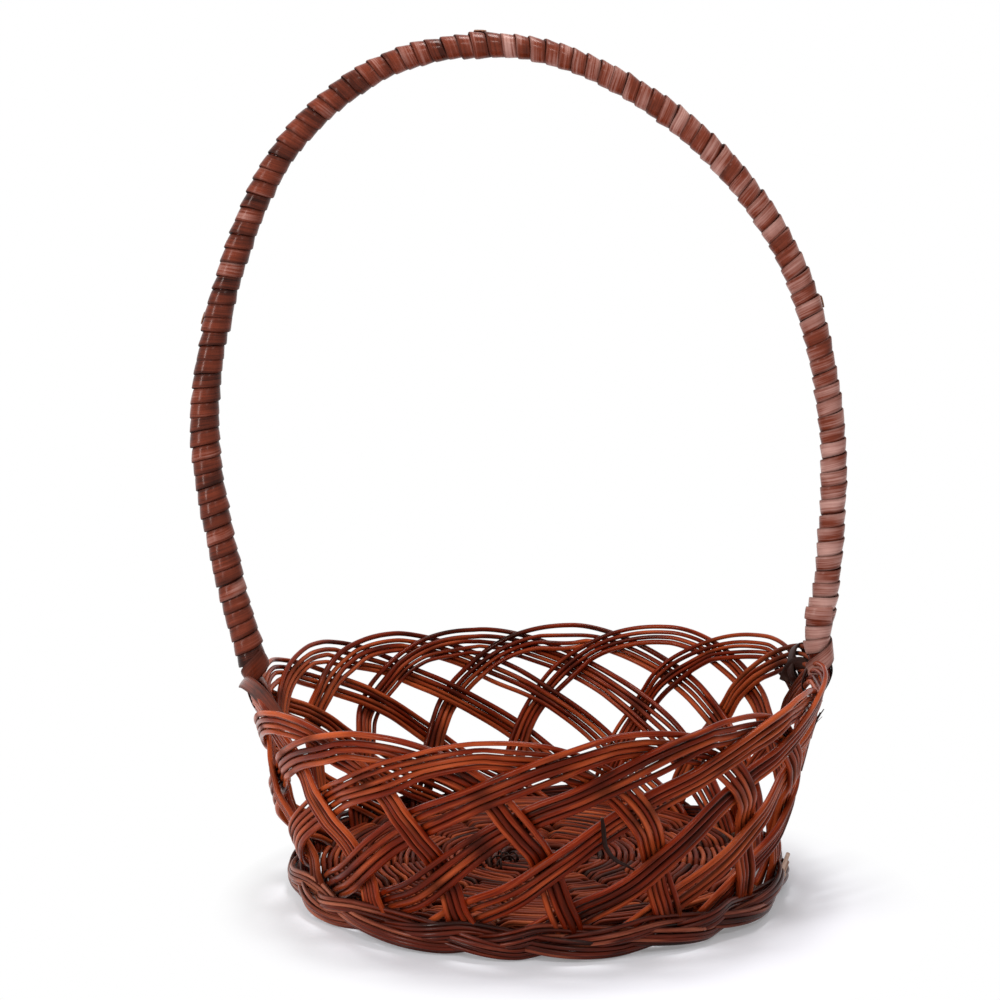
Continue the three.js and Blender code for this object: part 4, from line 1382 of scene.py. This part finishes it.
@dataclass(frozen=True)
class Lashing:
    """One strip that binds a tail to the wall: its loop round the crossing, its fold over the rim or both."""

    side: Side
    number: int
    turns: float = 0.0
    slant: float = 0.0
    half_width: float = 0.0
    grow: float = 0.0
    start: float = math.pi / 2
    around: float = 0.0
    outside: float = 6.6 * MM
    dark: bool = False
    fold: Fold | None = None


HOOK = Fold(
    (
        (7, 89, 2), (9.5, 91, -0.5), (12, 89.5, -2.8), (13.8, 86.5, -3.5), (14.6, 83.5, -3.6),
        (14.8, 80.5, -3.6),
    ),
    2.8 * MM,
    (-0.5, -0.85, 0.2),
)
BEND = Fold(
    ((180, 87, 5.4), (184, 89, 4), (189, 90.4, 1.6), (195, 89, -1.6), (202, 85, -3.6), (208, 79, -3.8)),
    3.1 * MM, (-0.45, -0.65, 0.6),
)
LASHINGS = (
    Lashing(
        Side.RIGHT, 1, turns=1.3, slant=math.radians(26), half_width=3.4 * MM, grow=0.2 * MM,
        around=math.radians(14), outside=4 * MM, dark=True, fold=HOOK,
    ),
    Lashing(Side.RIGHT, 2, turns=1.2, slant=math.radians(-20), half_width=1.6 * MM, dark=True),
    Lashing(
        Side.LEFT, 1, turns=1.2, slant=math.radians(20), half_width=2.6 * MM, start=math.pi, outside=4 * MM,
    ),
    Lashing(Side.LEFT, 2, fold=BEND),
)


@dataclass(frozen=True)
class Lashings:
    """The strips that bind each tail of the handle to the crossing of rods under it."""

    shape: WallShape
    thickness: float = 0.7 * MM
    reach: float = 8.6 * MM
    inside: float = 3.5 * MM
    squareness: float = 2.4
    steps: int = 44
    tone: float = 0.4
    tone_wander: float = 0.12
    tone_wave: float = 6.0
    grow_wander: float = 0.12 * MM
    grow_wave: float = 5.0
    loop_crown: float = 0.15 * MM
    loop_pitch: float = 2.1
    loop_shade: float = 0.8
    fold_crown: float = 0.3 * MM
    fold_shade: float = 0.9
    fold_tone: float = 0.36
    fold_samples: int = 8
    seed: int = 71

    def build(self) -> None:
        """Makes two pieces at each end of the handle."""
        rng = np.random.default_rng(self.seed)
        for lashing in LASHINGS:
            made = PieceMesh()
            if lashing.turns:
                self.add_loop(made, lashing, rng)
            if lashing.fold:
                self.add_fold(made, lashing.fold)
            label = f"{lashing.side.name.lower()}_{lashing.number:02d}"
            willow = DARK_FINISH if lashing.dark else WRAP_FINISH
            made.make(f"willow_lashing_{label}", willow.material(), Slot.LASHING, f"lashing_{label}")

    def add_fold(self, made: PieceMesh, fold: Fold) -> None:
        """Sweeps the folded strip along a smooth line through its places, from a point to its full width."""
        line = smooth_line(self.shape.places(fold.places), self.fold_samples)
        half = fold.half_width * np.interp(np.linspace(0, 1, len(line)), [0, 0.25], [0.2, 1])
        sections = strip_section(half, self.thickness, self.fold_crown, np.zeros(len(line)))
        # painted shade along the fold's edges
        edge = (sections[:, :, 0] / half[:, None]) ** 6
        tint = np.full((1, 1), self.fold_tone)
        made.sweep(line[None], np.array(fold.facing), sections[None], tint, self.fold_shade * edge[None])

    def add_loop(self, made: PieceMesh, lashing: Lashing, rng: np.random.Generator) -> None:
        """Sweeps one lashing.

        It follows a superellipse round the tail and the crossing, in a plane that slants from upright along
        the rim, and each turn lies beside the one before.
        """
        angle = np.linspace(0, lashing.turns * TURN, int(lashing.turns * self.steps)) + lashing.start
        around = np.array(lashing.side.value + lashing.around)
        normal = self.shape.normal(around)
        sideways = np.array([-math.sin(around), math.cos(around), 0.0])
        up_wall = np.cross(normal, sideways)
        up_slant = up_wall * math.cos(lashing.slant) + sideways * math.sin(lashing.slant)
        beside = sideways * math.cos(lashing.slant) - up_wall * math.sin(lashing.slant)
        level = self.shape.arch_height(self.shape.crossing(np.array([TURN / self.shape.bundles])))
        middle = self.shape.point(around[None], level + self.shape.wear(around, level), 0.0)[0]
        power = 2 / self.squareness
        along = np.sign(np.cos(angle)) * np.abs(np.cos(angle)) ** power
        through = np.sign(np.sin(angle)) * np.abs(np.sin(angle)) ** power
        grow = lashing.grow + self.grow_wander * wander(rng, 1, angle, self.grow_wave)[0]
        depth = (lashing.outside + self.inside) / 2 + grow
        pitch = self.loop_pitch * lashing.half_width * min(1.0, lashing.turns - 1)
        shift = (angle - angle.mean()) / TURN * pitch
        line = (
            middle
            + ((self.reach + grow) * along)[:, None] * up_slant
            + ((lashing.outside - self.inside) / 2 + depth * through)[:, None] * normal
            + shift[:, None] * beside
        )
        outward = along[:, None] * up_slant + through[:, None] * normal
        half = np.full(len(angle), lashing.half_width)
        sections = strip_section(half, self.thickness, self.loop_crown, np.zeros(len(angle)))
        tint = self.tone + self.tone_wander * wander(rng, 1, angle, self.tone_wave)
        # painted shade along the loop's edges
        edge = (sections[:, :, 0] / half[:, None]) ** 8
        made.sweep(line[None], unit(outward)[None], sections[None], tint, self.loop_shade * edge[None])


# Loose bits


@dataclass(frozen=True)
class Strays:
    """Loose bits of willow: a dark shoot on the wall, rod ends at the foot, frayed fibres and curls of bark.

    Places on the wall are given as degrees round it, millimetres up and millimetres out from its middle, and
    those of the cut ends as degrees round, millimetres from the axis and millimetres up.
    """

    shape: WallShape
    shoot: tuple = (
        (-78.3, 61, 3.6), (-77.9, 56, 4.4), (-77.2, 49, 4.4), (-75, 43, 3.6), (-72, 38.5, 1.5),
        (-69.5, 34.5, -1),
    )
    shoot_radius: float = 0.95 * MM
    shoot_tone: float = 0.2
    cut_ends: int = 4
    cut_radius: float = 0.95 * MM
    cut_start: tuple[float, float, float] = (-22, 104.2, 4.5)
    cut_step: tuple[float, float, float] = (1.5, 0.3, 2.0)
    cut_reach: tuple[float, float, float] = (9, 2.2, 5.5)
    cut_tones: tuple[float, float] = (0.4, 0.8)
    fibres: int = 6
    fibre_radius: float = 0.2 * MM
    fibre_angles: tuple[float, float] = (-12, -3)
    fibre_heights: tuple[float, float] = (64, 80)
    fibre_out: float = 2.6
    fibre_turns: tuple[float, float] = (-2, 3)
    fibre_rises: tuple[float, float] = (3, 11)
    fibre_reaches: tuple[float, float] = (1, 3.5)
    fibre_tones: tuple[float, float] = (0.3, 0.9)
    curls: int = 12
    curl_radius: float = 0.5 * MM
    curl_sizes: tuple[float, float] = (1.8, 3.6)
    curl_turn: float = 1.15 * math.pi
    curl_spread: tuple[float, float] = (10 * MM, 9 * MM)
    curl_aside: float = 0.8
    curl_tones: tuple[float, float] = (0.05, 0.4)
    curl_place: tuple[float, float, float] = (-19 * MM, -12 * MM, 11.2 * MM)
    seed: int = 91

    def build(self) -> None:
        """Makes one piece for each kind."""
        rng = np.random.default_rng(self.seed)
        dark = DARK_FINISH.material()
        self.shoot_mesh().make("willow_dark_shoot", dark, Slot.WALL)
        self.cut_end_mesh(rng).make("willow_cut_ends", BARE_FINISH.material(), Slot.FOOT)
        self.fibre_mesh(rng).make("willow_frayed_fibres", dark, Slot.LASHING)
        self.curl_mesh(rng).make("willow_bark_curls", dark, Slot.WEAVE)

    def shoot_mesh(self) -> PieceMesh:
        """Sweeps the shoot through its places on the wall, thickest near its upper end."""
        line = smooth_line(self.shape.places(self.shoot), 8)
        taper = np.interp(np.linspace(0, 1, len(line)), [0, 0.2, 0.6, 1], [0.6, 1, 0.9, 0.35])
        sections = rod_sections(self.shoot_radius * taper, 8)
        outward = self.shape.normal(np.full(len(line), math.radians(self.shoot[0][0])))
        return PieceMesh().sweep(line[None], outward[None], sections, np.full((1, 1), self.shoot_tone))

    def cut_end_mesh(self, rng: np.random.Generator) -> PieceMesh:
        """Sweeps rod ends that stand up and out of the foot at its right, one above the other."""
        share = np.linspace(0, 1, 9)
        number = np.arange(self.cut_ends)[:, None]
        turn, out, up = (start + step * number for start, step in zip(self.cut_start, self.cut_step))
        more_turn, more_out, more_up = self.cut_reach
        angle = np.radians(turn + (more_turn + rng.uniform(-1, 1, (self.cut_ends, 1))) * share)
        radius = (out + more_out * share ** 2) * MM
        z = (up + (more_up + rng.uniform(-1, 1, (self.cut_ends, 1))) * share ** 1.5) * MM
        lines = np.stack([self.shape.axis_x + radius * np.cos(angle), radius * np.sin(angle), z], axis=-1)
        radii = np.full((self.cut_ends, len(share)), self.cut_radius)
        tint = rng.uniform(*self.cut_tones, (self.cut_ends, 1))
        return PieceMesh().sweep(lines, UP, rod_sections(radii, 8), tint)

    def fibre_mesh(self, rng: np.random.Generator) -> PieceMesh:
        """Sweeps fibres that stand off the wall below the handle's right end, each bent outwards."""
        share = np.linspace(0, 1, 9)
        start = np.stack([
            rng.uniform(*self.fibre_angles, self.fibres),
            rng.uniform(*self.fibre_heights, self.fibres),
            np.full(self.fibres, self.fibre_out),
        ], axis=-1)
        reach = np.stack([
            rng.uniform(*self.fibre_turns, self.fibres),
            rng.uniform(*self.fibre_rises, self.fibres),
            rng.uniform(*self.fibre_reaches, self.fibres),
        ], axis=-1)
        bend = np.stack([share, share, share ** 1.6], axis=-1)
        lines = self.shape.places(start[:, None] + reach[:, None] * bend)
        thick = self.fibre_radius * rng.uniform(0.7, 2.0, (self.fibres, 1))
        sections = rod_sections(thick * np.linspace(1, 0.5, len(share)), 6)
        tint = rng.uniform(*self.fibre_tones, (self.fibres, 1))
        return PieceMesh().sweep(lines, ALONG_Y, sections, tint)

    def curl_mesh(self, rng: np.random.Generator) -> PieceMesh:
        """Sweeps curls of bark on the base: small arches, each turned its own way and drawn out sideways."""
        turn = np.linspace(0, self.curl_turn, 13)
        size = rng.uniform(*self.curl_sizes, (self.curls, 1)) * MM
        way = rng.uniform(0, math.pi, (self.curls, 1))
        x, y, z = self.curl_place
        middle = rng.uniform(-1, 1, (2, self.curls, 1)) * np.array(self.curl_spread)[:, None, None]
        along = -size * np.cos(turn)
        aside = size * rng.uniform(-self.curl_aside, self.curl_aside, (self.curls, 1)) * turn / math.pi
        lines = np.stack([
            self.shape.axis_x + x + middle[0] + along * np.cos(way) - aside * np.sin(way),
            y + middle[1] + along * np.sin(way) + aside * np.cos(way),
            z + size * np.sin(turn),
        ], axis=-1)
        across = np.stack([-np.sin(way), np.cos(way), np.zeros_like(way)], axis=-1)
        radii = self.curl_radius * rng.uniform(0.7, 1.2, (self.curls, 1)) * np.linspace(1, 0.6, len(turn))
        tint = rng.uniform(*self.curl_tones, (self.curls, 1))
        return PieceMesh().sweep(lines, across, rod_sections(radii, 6), tint)


# The studio


@dataclass(frozen=True)
class Lamp:
    """A soft lamp: its place from the basket's axis, its width and height, and its power in watts."""

    name: str
    place: tuple[float, float, float]
    size: tuple[float, float]
    power: float


LAMPS = (
    Lamp("key", (0.15, 0.0, 1.5), (0.45, 0.45), 13.0),
    Lamp("fill", (0.3, -1.2, 1.0), (0.16, 0.16), 3.5),
    Lamp("window", (-1.0, -0.95, 0.62), (0.13, 1.1), 12.0),
)


@dataclass(frozen=True)
class Studio:
    """A pale floor, soft light from above and the camera of the photograph's view."""

    axis_x: float
    distance: float = 0.8
    height: float = 0.2537
    pitch: float = math.radians(6.31)
    yaw: float = math.radians(1.16)
    lens: float = 68.3
    ambient: float = 0.32
    aim_z: float = 0.08
    floor_reach: float = 30.0
    paper_shift: tuple[float, float] = (0.015, -0.025)

    def build(self) -> None:
        """Makes the camera, the floor, the lamps and the world."""
        self.add_camera()
        self.add_floor()
        for lamp in LAMPS:
            self.add_lamp(lamp)
        self.set_world()
        bpy.context.scene.view_settings.view_transform = "Standard"

    def add_camera(self) -> None:
        """Sets the camera level across, tipped down and turned a little to the left."""
        data = bpy.data.cameras.new("camera")
        data.sensor_width = 36.0
        data.lens = self.lens
        camera = bpy.data.objects.new("camera", data)
        camera.location = (self.axis_x, -self.distance, self.height)
        camera.rotation_euler = (math.pi / 2 - self.pitch, 0.0, self.yaw)
        bpy.context.scene.collection.objects.link(camera)
        bpy.context.scene.camera = camera

    def add_lamp(self, lamp: Lamp) -> None:
        """Adds a lamp that faces the middle of the basket."""
        data = bpy.data.lights.new(lamp.name, "AREA")
        data.shape = "RECTANGLE"
        data.size, data.size_y = lamp.size
        data.energy = lamp.power
        made = bpy.data.objects.new(lamp.name, data)
        made.location = (self.axis_x + lamp.place[0], lamp.place[1], lamp.place[2])
        aim = np.array([0.0, 0.0, self.aim_z]) - np.array(lamp.place)
        flat = math.hypot(aim[0], aim[1])
        made.rotation_euler = (math.atan2(flat, -aim[2]), 0.0, math.atan2(aim[1], aim[0]) - math.pi / 2)
        bpy.context.scene.collection.objects.link(made)

    def add_floor(self) -> None:
        """Adds a wide floor of paper, whose middle lies under the basket."""
        mesh = bpy.data.meshes.new("floor")
        reach = self.floor_reach
        corners = [(-reach, -reach, 0), (reach, -reach, 0), (reach, reach, 0), (-reach, reach, 0)]
        mesh.from_pydata(corners, [], [(0, 1, 2, 3)])
        floor = bpy.data.objects.new("floor", mesh)
        bpy.context.scene.collection.objects.link(floor)
        middle = (self.axis_x + self.paper_shift[0], self.paper_shift[1], 0.0)
        mesh.materials.append(PaperFinish(middle=middle).material())

    def set_world(self) -> None:
        """Makes the world white where it is seen and a plain soft light elsewhere."""
        world = bpy.data.worlds.new("studio")
        world.use_nodes = True
        bpy.context.scene.world = world
        nodes = Nodes(world.node_tree)
        light = nodes.add("ShaderNodeBackground", {"Color": WHITE, "Strength": self.ambient})
        white = nodes.add("ShaderNodeBackground", {"Color": WHITE, "Strength": 1.0})
        seen = nodes.seen_rays()
        mixed = nodes.add("ShaderNodeMixShader", {0: seen, 1: light.outputs[0], 2: white.outputs[0]})
        nodes.add("ShaderNodeOutputWorld", {"Surface": mixed.outputs[0]})


def main() -> None:
    """Builds the basket's looks in order."""
    logging.basicConfig(level=logging.INFO, format="%(name)s: %(message)s")
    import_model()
    low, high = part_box("base_weaver_11")
    axis_x = (low.x + high.x) / 2
    shape = WallShape(axis_x)
    Studio(axis_x).build()
    Wall(shape).build()
    shallow_foot = float(shape.arch_angle(np.array([-1.0]))[0])
    Base(axis_x, shallow_foot - shape.first_crossing - math.pi / shape.bundles).build()
    Foot(axis_x).build()
    Handle(Bow(shape)).build()
    Lashings(shape).build()
    Strays(shape).build()


if __name__ == "__main__":
    main()
